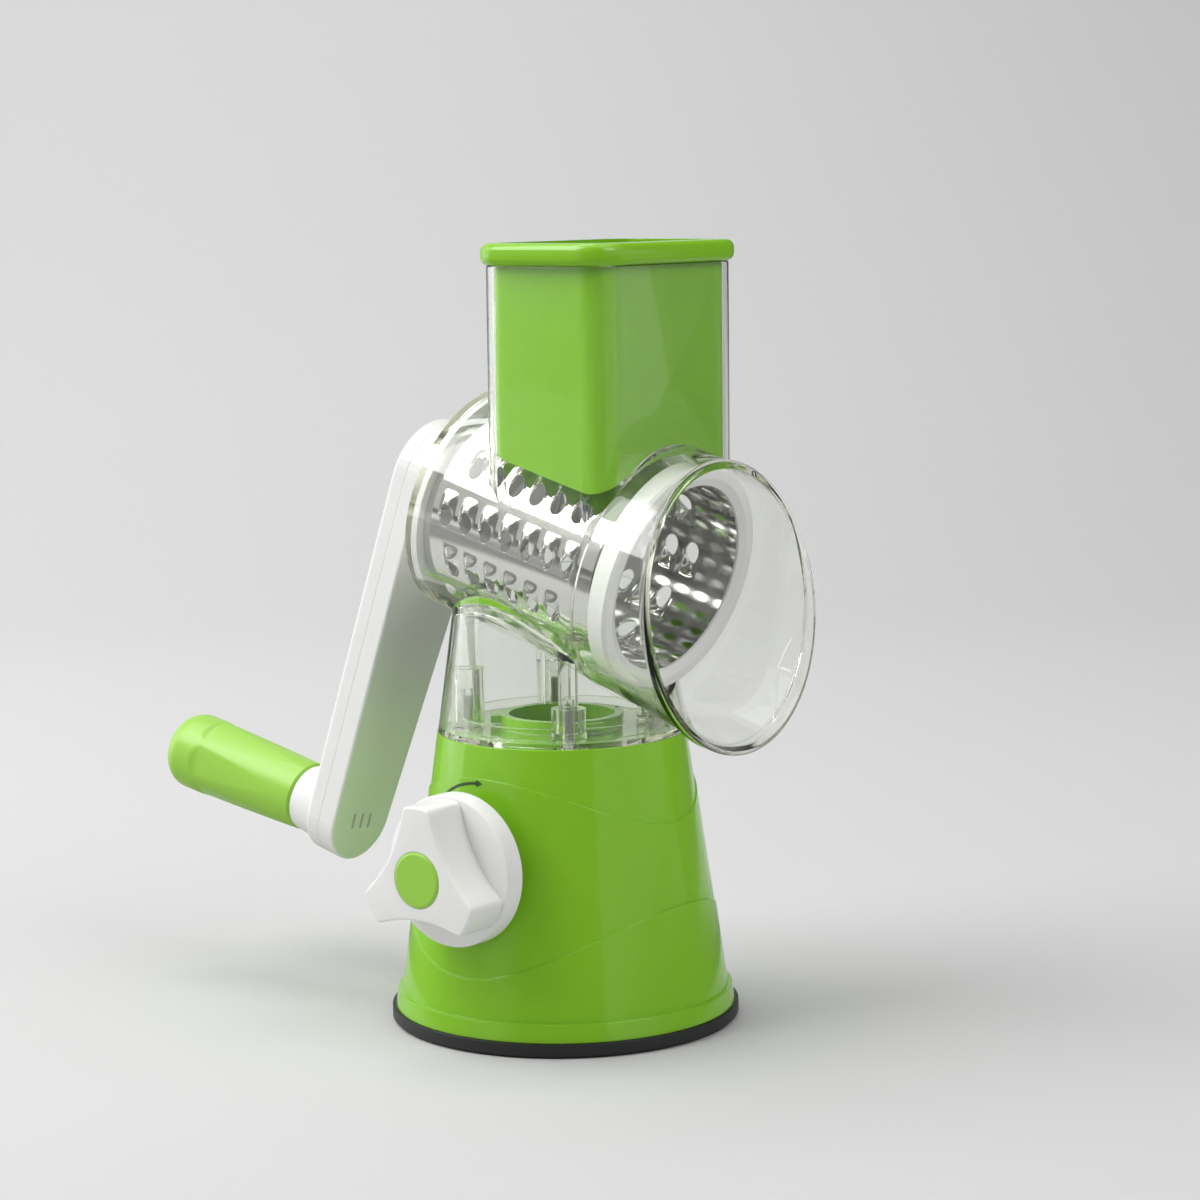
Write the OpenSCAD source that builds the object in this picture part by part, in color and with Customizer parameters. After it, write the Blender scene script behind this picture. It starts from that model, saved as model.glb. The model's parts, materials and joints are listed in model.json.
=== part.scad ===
// Hand-cranked rotary drum shredder on a suction base, with a clear drum housing and a food pusher.
// Millimetres. The origin is the middle of the base on the table and +Z is up. The outlet looks
// along -Y, the crank is on the +Y side and the suction knob is on the -X side.

/* [Suction pad] */
// Radius of the rubber pad
pad_r = 62.5; // [61.8:0.1:68]
// Height of the rubber rim that shows under the foot
pad_rim_h = 5.2; // [4.6:0.1:7]
// Width of the thick rim
pad_rim_w = 6.5; // [5.5:0.1:8]
// Height of the hollow under the pad
pad_hollow_h = 1.2; // [0.8:0.1:1.6]
// Thickness of the rubber skin
pad_skin_t = 2.2; // [1.8:0.1:2.4]
// How far the knob lifts the middle of the pad
pad_lift = 4; // [2.5:0.1:4.5]

/* [Base] */
// Height of the base, up to its deck
base_h = 104.1; // [102:0.1:110]
// Radius at the bottom of the foot flange
foot_r = 61.2; // [60.8:0.1:62]
// Height of the foot flange
foot_h = 6.2; // [5:0.1:8]
// Radius of the body just above the foot
body_low_r = 57.8; // [57:0.1:59]
// Radius of the body at the deck
body_top_r = 44.6; // [44:0.1:46]
// Wall of the base
base_wall = 2.4; // [2:0.1:3]
// Thickness of the deck
deck_t = 2.5; // [2:0.1:3.5]
// Height of each moulded step that follows a wave
wave_step = 0.5; // [0.3:0.1:0.8]
// Highest point of the upper wave
upper_wave_z = 93.1; // [88:0.5:96]
// Highest point of the lower wave
lower_wave_z = 46.9; // [40:0.5:55]

/* [Suction knob] */
// Height of the knob's axis
knob_z = 63.7; // [60:0.1:66]
// Distance from the base axis to the back of the knob
knob_out = 56.5; // [55.5:0.1:60]
// Radius of the knob's round flange
knob_r = 26.6; // [26:0.1:28]
// Depth of the flange
knob_flange_h = 8; // [7:0.1:10]
// Height of the three lobes above the flange
knob_grip_h = 16.5; // [12:0.5:20]
// Reach of the lobes
lobe_r = 25.3; // [23:0.1:25.8]
// Distance from the axis to the hollow between two lobes
waist_r = 14.2; // [13:0.1:16]
// Radius of the hollow between two lobes
hollow_r = 49.8; // [40:0.1:60]
// Radius of the cap in the knob's face
cap_r = 9.8; // [9:0.1:11]
// Angle that the knob turns to lock
knob_turn = 90; // [60:5:90]

/* [Drum] */
// Height of the drum's axis above the middle of the base
axis_z = 176; // [175:0.1:182]
// Tilt of the drum's axis, down towards the outlet
axis_tilt = 15.6; // [14:0.1:16]
// Gap between the steel drum and the outside of the clear tube
drum_gap = 6.6; // [6.4:0.1:7.2]
// Thickness of the steel
drum_t = 0.8; // [0.5:0.1:1]
// Back end of the steel, along the axis from its middle
drum_back = -30.9; // [-31.5:0.1:-30.5]
// Front end of the steel
drum_front = 53.1; // [52.5:0.1:53.5]
// Rows of cutting holes round the drum
hole_rows = 12; // [8:2:14]
// Holes in a long row
holes_in_row = 7; // [5:1:7]
// Distance between the holes of a row
hole_pitch = 9.6; // [9:0.1:10]
// Width of a hole along the drum
hole_w = 5.8; // [5:0.1:6.4]
// Length of a hole round the drum
hole_len = 8.4; // [7:0.1:9]
// Height of the raised cutting lip above the steel
lip_h = 1.7; // [1:0.1:2]

/* [Drum housing] */
// Outer radius of the clear tube
tube_r = 42.4; // [42:0.1:43.4]
// Wall of the clear housing
clear_wall = 2.3; // [2:0.1:2.4]
// Step outwards from the tube to the outlet
collar_step = 2.3; // [2:0.1:3]
// Place of the step between the tube and the outlet
collar_s = 40; // [39:0.1:42]
// How far the outlet's lip flares out past its collar
lip_flare = 5.45; // [5.25:0.1:7.25]
// Place of the lip's middle along the drum's axis
lip_s = 79.2; // [78:0.1:84]
// How far the lip's middle lies under the drum's axis
lip_drop = 2.3; // [2:0.1:2.6]
// Angle between the lip's plane and the tube's end
lip_turn = 21.9; // [18:0.1:22]
// How far each side of the feed chute stands inside the tube's width
chute_inset = 1.75; // [1.25:0.05:2.25]
// Depth of the feed chute, along the drum
chute_y = 55.4; // [53:0.1:56]
// Place of the chute's middle in front of the base axis
chute_mid = 23.6; // [23:0.1:24.5]
// Outer radius of the chute's corners
chute_corner = 11.4; // [10:0.1:13]
// Height of the chute's top edge
chute_top = 269.8; // [260:0.1:280]

/* [Skirt] */
// Outer radius of the clear skirt on the deck
skirt_r = 44.3; // [44:0.1:44.5]
// Radius that the skirt loses for each millimetre of height
skirt_taper = 0.14; // [0.1:0.01:0.15]
// Thickness of the skirt's floor
skirt_floor_t = 2.6; // [2.4:0.1:3]
// Half the distance between the screw posts, across the drum
post_x = 25; // [24:0.1:25.4]
// Half the distance between the screw posts, along the drum
post_y = 22.6; // [21.5:0.1:23]
// Radius of a screw post
post_r = 3.4; // [3.2:0.1:3.6]
// Outer radius of a post's sleeve
sleeve_r = 6; // [5.6:0.1:6.2]
// Angle that the housing turns to come free of the base
housing_turn = 34; // [34:1:60]

/* [Crank] */
// Length of the crank, from the drum's axis to the grip
arm_len = 131; // [120:0.5:134]
// Radius of the arm's hub end
hub_r = 21.4; // [20:0.1:23]
// Radius of the arm's grip end
arm_end_r = 15.7; // [15:0.1:17]
// Thickness of the arm
arm_t = 14; // [13:0.1:15]
// Place of the arm's front face behind the middle of the drum
arm_front = 48.6; // [48.6:0.1:50]
// Angle between the hanging arm and straight down
arm_lean = 7.4; // [0:0.1:12]
// Angle that the grip splays away from the drum's axis
grip_splay = 4; // [0:0.1:5]
// Height of the white collar under the grip
collar_h = 11.5; // [9:0.1:14]
// Length of the grip
grip_len = 66; // [58:0.5:75]
// Radius of the grip where it meets the collar
grip_neck_r = 12.3; // [12:0.1:13]
// Largest radius of the grip
grip_r = 15.1; // [14:0.1:16]

/* [Pusher] */
// Wall of the pusher
pusher_wall = 2; // [1.6:0.1:2.4]
// Gap between the pusher and the chute
pusher_gap = 0.6; // [0.5:0.05:0.8]
// Height of the pusher's rim
rim_h = 7.7; // [6:0.1:9]
// How far the rim stands out past the chute
rim_over = 2; // [1.5:0.1:2]
// Gap between the pusher's hollow underside and the drum
pusher_drum_gap = 4; // [3.9:0.1:5]
// Radius of the pusher's hollow underside
underside_r = 67; // [60:1:80]

/* [Hidden] */
$fn = 96;
// Overrun of every cut
cut = 1;
// Gap between pieces that move, gap between pieces that only sit together, and running fit
ease = 0.3;
seat = 0.1;
run = 0.06;

pad_bead_w = 1.8;
pad_bead_h = 2.2;
pad_bead_in = 3.4;
pad_hub_r = 11;
pad_hub_h = 4.4;
foot_draft = 1;
foot_z = pad_rim_h;
body_z = foot_z + foot_h;
body_slope = (body_low_r - body_top_r) / (base_h - body_z);
foot_in_r = pad_r - pad_rim_w;
upper_wave_r = 77;
lower_wave_r = 83;
ring_r = 22;
ring_h = 5.9;
ring_wall = 3.2;
hook_r = ring_r + 3.4;
hook_t = 2.5;
hook_arc = 30;
hook_play = 2;
hook_count = 3;
knob_boss_r = 16;
knob_boss_z = knob_out - ease;
plate_t = 3;
plate_z = pad_rim_h;
plate_hole_r = pad_hub_r + 1.4;
guide_r = 13.6;
guide_wall = 2;
guide_h = 24;
guide_top_t = 2.6;
base_boss_r = 4;
base_boss_at = 51;
base_boss_h = 26;
base_screw_r = 1.5;
base_screw_len = 14;
base_screw_head_r = 3;
base_screw_head_h = 1.6;
stud_r = 5;
stud_foot_r = 8.4;
stud_foot_h = 2;
stud_foot_z = pad_rim_h - 0.4;
stud_collar_z = pad_hollow_h + pad_skin_t + pad_hub_h + seat;
stud_collar_h = 1.8;
yoke_w = 25;
yoke_t = 8;
yoke_wall = 4.5;
pin_r = 4;
shaft_r = 7;
cam_throw = pad_lift / (2 * sin(knob_turn / 2));
pin_play = 0.15;
shaft_end = yoke_t / 2 + 2.4;
bearing_r = 11;
spigot_r = 5;
lobe_count = 3;
knob_web_t = 3;
knob_screw_r = 1.8;
knob_screw_head_r = 3.6;
knob_screw_head_h = 2.2;
knob_screw_len = 14;
cap_t = 2;
spring_r = 7.6;
spring_wire_r = 0.6;
spring_turns = 6;
spring_sides = 6;
spring_steps = 12;

lip_t = 0.8;
lip_len = 5.6;
drum_ring_back = 47.7;
drum_ring_out = 55.7;
drum_r = tube_r - drum_gap;
collar_r = tube_r + collar_step;
lip_r = collar_r + lip_flare;
chute_x = 2 * (tube_r - chute_inset);
ring_way = 1;
ring_draft = 1;
drum_ring_r = collar_r - clear_wall - ring_way;
drum_ring_back_r = drum_ring_r - ring_draft;
drum_ring_lip_in = 1;
drum_ring_bevel = 2;
drum_ring_wall = 1.8;
hub_way = 0.7;
hub_flange_r = tube_r - clear_wall - hub_way;
hub_flange_t = 2.1;
hub_skirt_h = 5;
hub_skirt_wall = 1.6;
hub_web_t = 2.4;
hub_boss_r = 13;
hub_boss_h = 18;
hex_af = 14;
hex_r = hex_af / sqrt(3);
hex_len = 15;
journal_r = 9;
bearing_boss_r = 12.6;
rear_wall_t = 2;
rear_s = -35.4;
bearing_end = -arm_front + 2.3;
thrust_end = bearing_end - ease;
tube_in_r = tube_r - clear_wall;
flare_lead = 7;
flare_start = collar_s + flare_lead;
flare_sides = 48;
flare_steps = 4;
flare_swell_share = 1.6;
bead_h = 4;
bead_w = 0.7;
chute_low = axis_z - chute_mid * tan(axis_tilt);
chute_in_x = chute_x - 2 * clear_wall;
chute_in_y = chute_y - 2 * clear_wall;
chute_in_corner = chute_corner - clear_wall;

post_top_s = tube_r - clear_wall / 2;
sleeve_front_h = 13;
sleeve_back_h = 23.5;
post_foot_z = base_h + skirt_floor_t + 1.6;
post_screw_r = 1.5;
post_screw_len = 12;
post_screw_head_r = 2.8;
post_screw_head_h = 1.5;
skirt_wall = 2.2;
arch_bead = 1;
arch_h = 2.4;
plate_ring_h = 3.4;
plate_ring_w = 1.6;
plate_ring_r = 36.9;

cover_h = 7.5;
arm_seam = arm_front + cover_h;
arm_back = arm_front + arm_t;
arm_wall = 2.2;
front_edge = 1;
back_edge = 1.6;
shank_w = 13;
shank_back = arm_back - 4.7;
hub_socket_r = 11.8;
crank_screw_r = 1.9;
crank_screw_len = 16;
crank_screw_head_r = 4.4;
crank_screw_head_h = 2.2;
pin_flange_r = 7;
pin_flange_t = arm_back - arm_seam - arm_wall - pin_flange_r * sin(grip_splay) - 2 * seat;
grip_pin_r = 4;
grip_pin_len = 56;
barb_r = 4.9;
barb_h = 5;
grip_end_round = 8;
grip_wide_share = 0.74;
flute_count = 6;
flute_r = 20;
flute_depth = 0.7;
flute_fade_share = 0.12;
flute_notch_share = 0.78;
flute_lead = 4;
slot_len = 6;
slot_w = 1.2;
slot_gap = 4.5;
slot_depth = 1.4;
slot_lean = 4;
rim_edge = 1.4;
pusher_floor_t = 2.2;

// Shapes that more than one piece uses

module on_axis(s = 0) {
    translate([0, 0, axis_z]) rotate([90 + axis_tilt, 0, 0]) translate([0, 0, s]) children();
}

module on_knob(x = 0) {
    translate([-x, 0, knob_z]) rotate([0, -90, 0]) children();
}

module on_crank(s = 0) {
    on_axis(s) rotate([0, 0, -arm_lean]) children();
}

module on_grip(s = 0) {
    on_crank(-arm_back) translate([0, -arm_len, 0]) rotate([180 - grip_splay, 0, 0])
        translate([0, 0, s]) children();
}

module around(count, start = 0) {
    for (i = [0 : count - 1]) rotate([0, 0, start + i * 360 / count]) children();
}

module at_posts() {
    for (sx = [-1, 1], sy = [-1, 1]) translate([sx * post_x, sy * post_y, 0]) children();
}

module pipe(outer, inner, h) {
    difference() {
        cylinder(r = outer, h = h);
        translate([0, 0, -cut]) cylinder(r = inner, h = h + 2 * cut);
    }
}

module round_rect(x, y, r) {
    square([x - 2 * r, y], center = true);
    square([x, y - 2 * r], center = true);
    for (sx = [-1, 1], sy = [-1, 1]) translate([sx * (x / 2 - r), sy * (y / 2 - r)]) circle(r = r);
}

module stadium(length, width) {
    square([width, length - width], center = true);
    for (sy = [-1, 1]) translate([0, sy * (length - width) / 2]) circle(r = width / 2);
}

// A round hub and a smaller round end with straight flanks, the end hanging along -Y
module tapered_bar(ra, rb, length) {
    lean = asin((ra - rb) / length);
    circle(r = ra);
    translate([0, -length]) circle(r = rb);
    polygon([[ra * cos(lean), -ra * sin(lean)], [rb * cos(lean), -length - rb * sin(lean)],
             [-rb * cos(lean), -length - rb * sin(lean)], [-ra * cos(lean), -ra * sin(lean)]]);
}

// The same bar as a plate whose upper edge is rounded
module soft_bar(ra, rb, length, h, edge) {
    hull() {
        soft_disc(ra, h, edge);
        translate([0, -length, 0]) soft_disc(rb, h, edge);
    }
}

module soft_disc(r, h, edge) {
    rotate_extrude($fn = 48) polygon(concat([[0, 0], [r, 0]],
        [for (a = [0 : 30 : 90]) [r - edge + edge * cos(a), h - edge + edge * sin(a)]], [[0, h]]));
}

// A rounded rectangle as a plate whose upper edge is rounded
module soft_slab(x, y, corner, h, edge) {
    linear_extrude(h) round_rect(x - 2 * edge, y - 2 * edge, corner - edge);
    linear_extrude(h - edge) round_rect(x, y, corner);
    translate([0, 0, h - edge]) {
        for (sx = [-1, 1], sy = [-1, 1])
            translate([sx * (x / 2 - corner), sy * (y / 2 - corner), 0])
                rotate_extrude() translate([corner - edge, 0]) circle(r = edge, $fn = 32);
        for (sx = [-1, 1])
            translate([sx * (x / 2 - edge), y / 2 - corner, 0])
                rotate([90, 0, 0]) cylinder(r = edge, h = y - 2 * corner, $fn = 32);
        for (sy = [-1, 1])
            translate([corner - x / 2, sy * (y / 2 - edge), 0])
                rotate([0, 90, 0]) cylinder(r = edge, h = x - 2 * corner, $fn = 32);
    }
}

// A screw that points along +Z, with the underside of its head at zero
module screw(r, length, head_r, head_h) {
    cylinder(r = r, h = length);
    difference() {
        translate([0, 0, -head_h]) cylinder(r = head_r, h = head_h);
        translate([0, 0, -head_h - cut]) linear_extrude(head_h / 2 + cut) {
            square([head_r, head_r / 4], center = true);
            square([head_r / 4, head_r], center = true);
        }
    }
}

// Base

module body_cone(grow, low_z, high_z) {
    translate([0, 0, low_z])
        cylinder(r1 = body_low_r + grow - body_slope * (low_z - body_z),
                 r2 = body_low_r + grow - body_slope * (high_z - body_z), h = high_z - low_z);
}

// All that lies under a wave. The waves are cylinders on their side, so they rise and fall twice
// on the way round the cone.
module under_wave(top_z, r, turn) {
    rotate([0, 0, turn]) {
        translate([0, 0, top_z - r]) rotate([0, 90, 0]) cylinder(r = r, h = 3 * foot_r, center = true);
        translate([-2 * foot_r, -r, top_z - 2 * r]) cube([4 * foot_r, 2 * r, r]);
    }
}

module base_shell() {
    color("yellowgreen") difference() {
        union() {
            translate([0, 0, foot_z]) cylinder(r1 = foot_r, r2 = foot_r - foot_draft, h = foot_h);
            body_cone(0, body_z, base_h);
            intersection() {
                body_cone(wave_step, body_z, base_h);
                under_wave(upper_wave_z, upper_wave_r, 0);
            }
            intersection() {
                body_cone(2 * wave_step, body_z, base_h);
                under_wave(lower_wave_z, lower_wave_r, 90);
            }
            on_knob() cylinder(r = knob_boss_r, h = knob_boss_z);
            translate([0, 0, base_h]) cylinder(r = ring_r, h = ring_h);
            translate([0, 0, base_h + skirt_floor_t + ease]) lock_hooks();
        }
        difference() {
            union() {
                translate([0, 0, foot_z - cut]) cylinder(r = foot_in_r, h = foot_h + cut);
                body_cone(-base_wall, body_z - seat, base_h - deck_t);
            }
            on_knob(shaft_end) cylinder(r = bearing_r, h = knob_out);
            base_screw_bosses();
        }
        translate([0, 0, foot_z]) difference() {
            pipe(pad_r - pad_bead_in + seat, pad_r - pad_bead_in - pad_bead_w - seat, pad_bead_h + seat);
            translate([0, 0, -cut]) cylinder(r = foot_in_r, h = cut);
        }
        on_knob(shaft_end - cut) cylinder(r = shaft_r + run, h = knob_out);
        translate([0, 0, base_h - cut]) cylinder(r = ring_r - ring_wall, h = ring_h + 2 * cut);
        around(4, 45) translate([base_boss_at, 0, plate_z + plate_t - cut])
            cylinder(r = base_screw_r, h = base_screw_len);
    }
}

module lock_hooks() {
    around(hook_count) rotate([0, 0, -hook_arc / 2]) rotate_extrude(angle = hook_arc)
        square([hook_r, hook_t]);
}

module base_screw_bosses() {
    around(4, 45) translate([base_boss_at, 0, plate_z + plate_t]) cylinder(r = base_boss_r, h = base_boss_h);
}

module base_plate() {
    color("whitesmoke") difference() {
        union() {
            translate([0, 0, plate_z]) cylinder(r = foot_in_r - seat, h = plate_t);
            translate([0, 0, plate_z]) cylinder(r = guide_r, h = guide_h);
            around(6) translate([guide_r - guide_wall / 2, -guide_wall / 2, plate_z])
                cube([foot_in_r - 2 * guide_r, guide_wall, 2 * plate_t]);
        }
        translate([0, 0, plate_z - cut]) cylinder(r = plate_hole_r - guide_wall / 2, h = guide_h - guide_top_t + cut);
        translate([0, 0, plate_z]) cylinder(r = stud_r + ease, h = guide_h + cut);
        around(4, 45) translate([base_boss_at, 0, plate_z - cut]) {
            cylinder(r = base_screw_r + seat, h = plate_t + 2 * cut);
            cylinder(r = base_screw_head_r + seat, h = base_screw_head_h + seat + cut);
        }
    }
}

module base_screws() {
    color("silver") around(4, 45) translate([base_boss_at, 0, plate_z + base_screw_head_h + seat])
        screw(base_screw_r - seat, base_screw_len - 2 * base_screw_head_h, base_screw_head_r, base_screw_head_h);
}

module suction_pad() {
    rim_in = pad_r - pad_rim_w;
    skin_top = pad_hollow_h + pad_skin_t;
    hub_top = skin_top + pad_hub_h;
    bead_out = pad_r - pad_bead_in;
    color("dimgray") difference() {
        rotate_extrude() polygon([
            [0, pad_hollow_h], [rim_in - 2 * pad_rim_w, pad_hollow_h], [rim_in, 0], [pad_r - pad_hollow_h, 0],
            [pad_r, pad_hollow_h], [pad_r, pad_rim_h - seat], [bead_out, pad_rim_h - seat],
            [bead_out, pad_rim_h + pad_bead_h - seat], [bead_out - pad_bead_w, pad_rim_h + pad_bead_h - seat],
            [bead_out - pad_bead_w, pad_rim_h - seat], [rim_in, pad_rim_h - seat],
            [rim_in - pad_rim_h, skin_top], [pad_hub_r, skin_top], [pad_hub_r, hub_top], [0, hub_top]]);
        translate([0, 0, stud_foot_z - seat]) cylinder(r = stud_foot_r + seat, h = stud_foot_h + 2 * seat);
        translate([0, 0, stud_foot_z]) cylinder(r = stud_r + seat, h = hub_top);
    }
}

// Suction lock: the knob turns an offset pin inside the stud's window, and the pin lifts the stud

module pad_stud() {
    window_w = 2 * (pin_r + cam_throw + ease);
    window_h = 2 * (pin_r + pin_play);
    pin_rest = knob_z - pad_lift / 2;
    color("gainsboro") union() {
        translate([0, 0, stud_foot_z]) cylinder(r = stud_foot_r, h = stud_foot_h);
        translate([0, 0, stud_foot_z]) cylinder(r = stud_r, h = pin_rest - pin_r - yoke_wall - stud_foot_z + seat);
        translate([0, 0, stud_collar_z]) cylinder(r = spring_r + 2 * spring_wire_r, h = stud_collar_h);
        translate([0, 0, pin_rest]) rotate([90, 0, 90]) linear_extrude(yoke_t, center = true) difference() {
            round_rect(yoke_w, window_h + 2 * yoke_wall, yoke_wall / 2);
            round_rect(window_w, window_h, yoke_wall / 4);
        }
    }
}

function helix(r, z0, z1, turns, steps) =
    [for (i = [0 : turns * steps]) [r * cos(i * 360 / steps), r * sin(i * 360 / steps),
                                    z0 + (z1 - z0) * i / (turns * steps)]];

// A wire of six sides round the points of a helix, which all turn about the Z axis
module coil(path, wire_r, sides, steps) {
    points = [for (i = [0 : len(path) - 1], k = [0 : sides - 1])
        let (a = k * 360 / sides, turn = i * 360 / steps, out = wire_r * cos(a))
        [path[i][0] + out * cos(turn), path[i][1] + out * sin(turn), path[i][2] + wire_r * sin(a)]];
    last = len(path) - 1;
    sidewall = [for (i = [0 : last - 1], k = [0 : sides - 1])
        let (a = i * sides + k, b = i * sides + (k + 1) % sides)
        each [[a, a + sides, b], [b, a + sides, b + sides]]];
    start = [for (k = [1 : sides - 2]) [0, k, k + 1]];
    end = [for (k = [1 : sides - 2]) [last * sides, last * sides + k + 1, last * sides + k]];
    polyhedron(points, concat(sidewall, start, end));
}

module return_spring() {
    low = stud_collar_z + stud_collar_h + seat + spring_wire_r;
    high = plate_z + guide_h - guide_top_t - seat - spring_wire_r;
    color("silver") coil(helix(spring_r, low, high, spring_turns, spring_steps), spring_wire_r,
                         spring_sides, spring_steps);
}

module cam_shaft() {
    throw_y = cam_throw * cos(knob_turn / 2);
    throw_z = -cam_throw * sin(knob_turn / 2);
    color("gainsboro") difference() {
        union() {
            on_knob(shaft_end) cylinder(r = shaft_r, h = knob_out - shaft_end);
            on_knob(knob_out - cut) cylinder(r = spigot_r, h = knob_flange_h + cut);
            on_knob(-shaft_end) translate([throw_z, throw_y, 0]) cylinder(r = pin_r, h = 2 * shaft_end + cut);
        }
        on_knob(knob_out + knob_flange_h - knob_screw_len) cylinder(r = knob_screw_r, h = knob_screw_len + cut);
    }
}

module lobes(h) {
    linear_extrude(h) intersection() {
        circle(r = lobe_r);
        difference() {
            circle(r = 2 * lobe_r);
            around(lobe_count, 180 / lobe_count) translate([waist_r + hollow_r, 0]) circle(r = hollow_r);
        }
    }
}

module suction_knob() {
    face = knob_flange_h + knob_grip_h;
    web = knob_flange_h + knob_web_t;
    color("white") on_knob(knob_out) difference() {
        union() {
            cylinder(r = knob_r, h = knob_flange_h - front_edge);
            translate([0, 0, knob_flange_h - front_edge]) cylinder(r1 = knob_r, r2 = knob_r - front_edge, h = front_edge);
            lobes(face - front_edge);
            intersection() {
                lobes(face);
                translate([0, 0, knob_flange_h])
                    cylinder(r1 = lobe_r + knob_grip_h - front_edge, r2 = lobe_r - front_edge, h = knob_grip_h);
            }
        }
        translate([0, 0, -cut]) pipe(knob_r - base_wall, spigot_r + base_wall, knob_flange_h - base_wall + cut);
        translate([0, 0, -cut]) cylinder(r = spigot_r + seat, h = knob_flange_h + seat + cut);
        translate([0, 0, knob_flange_h]) cylinder(r = knob_screw_r + seat, h = knob_grip_h);
        translate([0, 0, web]) cylinder(r = knob_screw_head_r + ease, h = knob_grip_h);
        translate([0, 0, face - cap_t - seat]) cylinder(r = cap_r + seat, h = cap_t + cut);
    }
}

module knob_screw() {
    color("silver") on_knob(knob_out + knob_flange_h + knob_web_t) rotate([180, 0, 0])
        screw(knob_screw_r - seat, knob_screw_len, knob_screw_head_r, knob_screw_head_h);
}

module knob_cap() {
    color("yellowgreen") on_knob(knob_out + knob_flange_h + knob_grip_h - cap_t) union() {
        cylinder(r = cap_r, h = cap_t);
        translate([0, 0, cap_t]) cylinder(r1 = cap_r, r2 = cap_r - cap_t / 2, h = cap_t / 4);
        translate([0, 0, -2 * cap_t]) pipe(knob_screw_head_r, knob_screw_head_r - cap_t / 2, 2 * cap_t);
    }
}

// Skirt and housing

module skirt_cone(grow, high_z) {
    low_z = base_h - cut;
    translate([0, 0, low_z]) cylinder(r1 = skirt_r + grow + skirt_taper * cut,
        r2 = skirt_r + grow - skirt_taper * (high_z - base_h), h = high_z - low_z);
}

// A loft through stations of [place from the collar (0) to the lip (1), radius]. Its rings turn and
// drop from the tube's end to the lip.
module flare_loft(stations) {
    function ring(t, r) = [for (k = [0 : flare_sides - 1])
        let (a = k * 360 / flare_sides, turn = lip_turn * max(t, 0))
        [r * cos(a), r * sin(a) * cos(turn) - lip_drop * max(t, 0),
         flare_start + (lip_s - flare_start) * t - r * sin(a) * sin(turn)]];
    points = [for (s = stations) each ring(s[0], s[1])];
    last = len(stations) - 1;
    sidewall = [for (i = [0 : last - 1], k = [0 : flare_sides - 1])
        let (a = i * flare_sides + k, b = i * flare_sides + (k + 1) % flare_sides)
        each [[a, a + flare_sides, b], [b, a + flare_sides, b + flare_sides]]];
    polyhedron(points, concat(sidewall, [[for (k = [0 : flare_sides - 1]) k]],
                              [[for (k = [flare_sides - 1 : -1 : 0]) last * flare_sides + k]]));
}

function flare_place(s) = (s - flare_start) / (lip_s - flare_start);
function flare_swell(t) = collar_r + (lip_r - bead_w - collar_r) * pow(t, flare_swell_share);

module skirt() {
    high = axis_z;
    color("gainsboro", 0.35) difference() {
        union() {
            intersection() {
                difference() {
                    skirt_cone(0, high);
                    skirt_cone(-skirt_wall, high + cut);
                }
                translate([-foot_r, -foot_r, base_h]) cube([2 * foot_r, 2 * foot_r, high - base_h]);
            }
            intersection() {
                difference() {
                    skirt_cone(0, high);
                    skirt_cone(-skirt_wall - arch_bead, high + cut);
                }
                on_axis(rear_s - cut) cylinder(r = tube_r + arch_h, h = collar_s - rear_s);
                translate([-foot_r, -foot_r, base_h]) cube([2 * foot_r, 2 * foot_r, high - base_h]);
            }
            translate([0, 0, base_h]) cylinder(r = skirt_r - skirt_wall / 2, h = skirt_floor_t);
            translate([0, 0, base_h]) pipe(plate_ring_r, plate_ring_r - plate_ring_w, skirt_floor_t + plate_ring_h);
            for (sx = [-1, 1]) {
                translate([sx * post_x, post_y, base_h]) cylinder(r = sleeve_r, h = sleeve_back_h);
                translate([sx * post_x, -post_y, base_h]) cylinder(r = sleeve_r, h = sleeve_front_h);
            }
        }
        difference() {
            translate([0, 0, base_h]) pipe(skirt_r + cut, skirt_r - skirt_wall, sleeve_back_h + cut);
            skirt_cone(0, high);
        }
        at_posts() {
            translate([0, 0, post_foot_z]) cylinder(r = post_r + seat, h = axis_z - post_foot_z);
            translate([0, 0, base_h - cut]) {
                cylinder(r = post_screw_r + seat, h = sleeve_front_h);
                cylinder(r = post_screw_head_r + seat, h = post_screw_head_h + 2 * seat + cut);
            }
        }
        translate([0, 0, base_h - cut]) cylinder(r = ring_r + ease, h = skirt_floor_t + 2 * cut);
        translate([0, 0, base_h - cut]) around(hook_count, -housing_turn)
            rotate([0, 0, -hook_arc / 2 - hook_play]) rotate_extrude(angle = hook_arc + 2 * hook_play)
                square([hook_r + ease, skirt_floor_t + 2 * cut]);
        on_axis(rear_s - foot_r) cylinder(r = tube_r + seat, h = 3 * foot_r);
        on_axis(collar_s - seat) cylinder(r1 = collar_r + seat, r2 = (collar_r + lip_r) / 2 + seat, h = lip_s - collar_s);
    }
}

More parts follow.
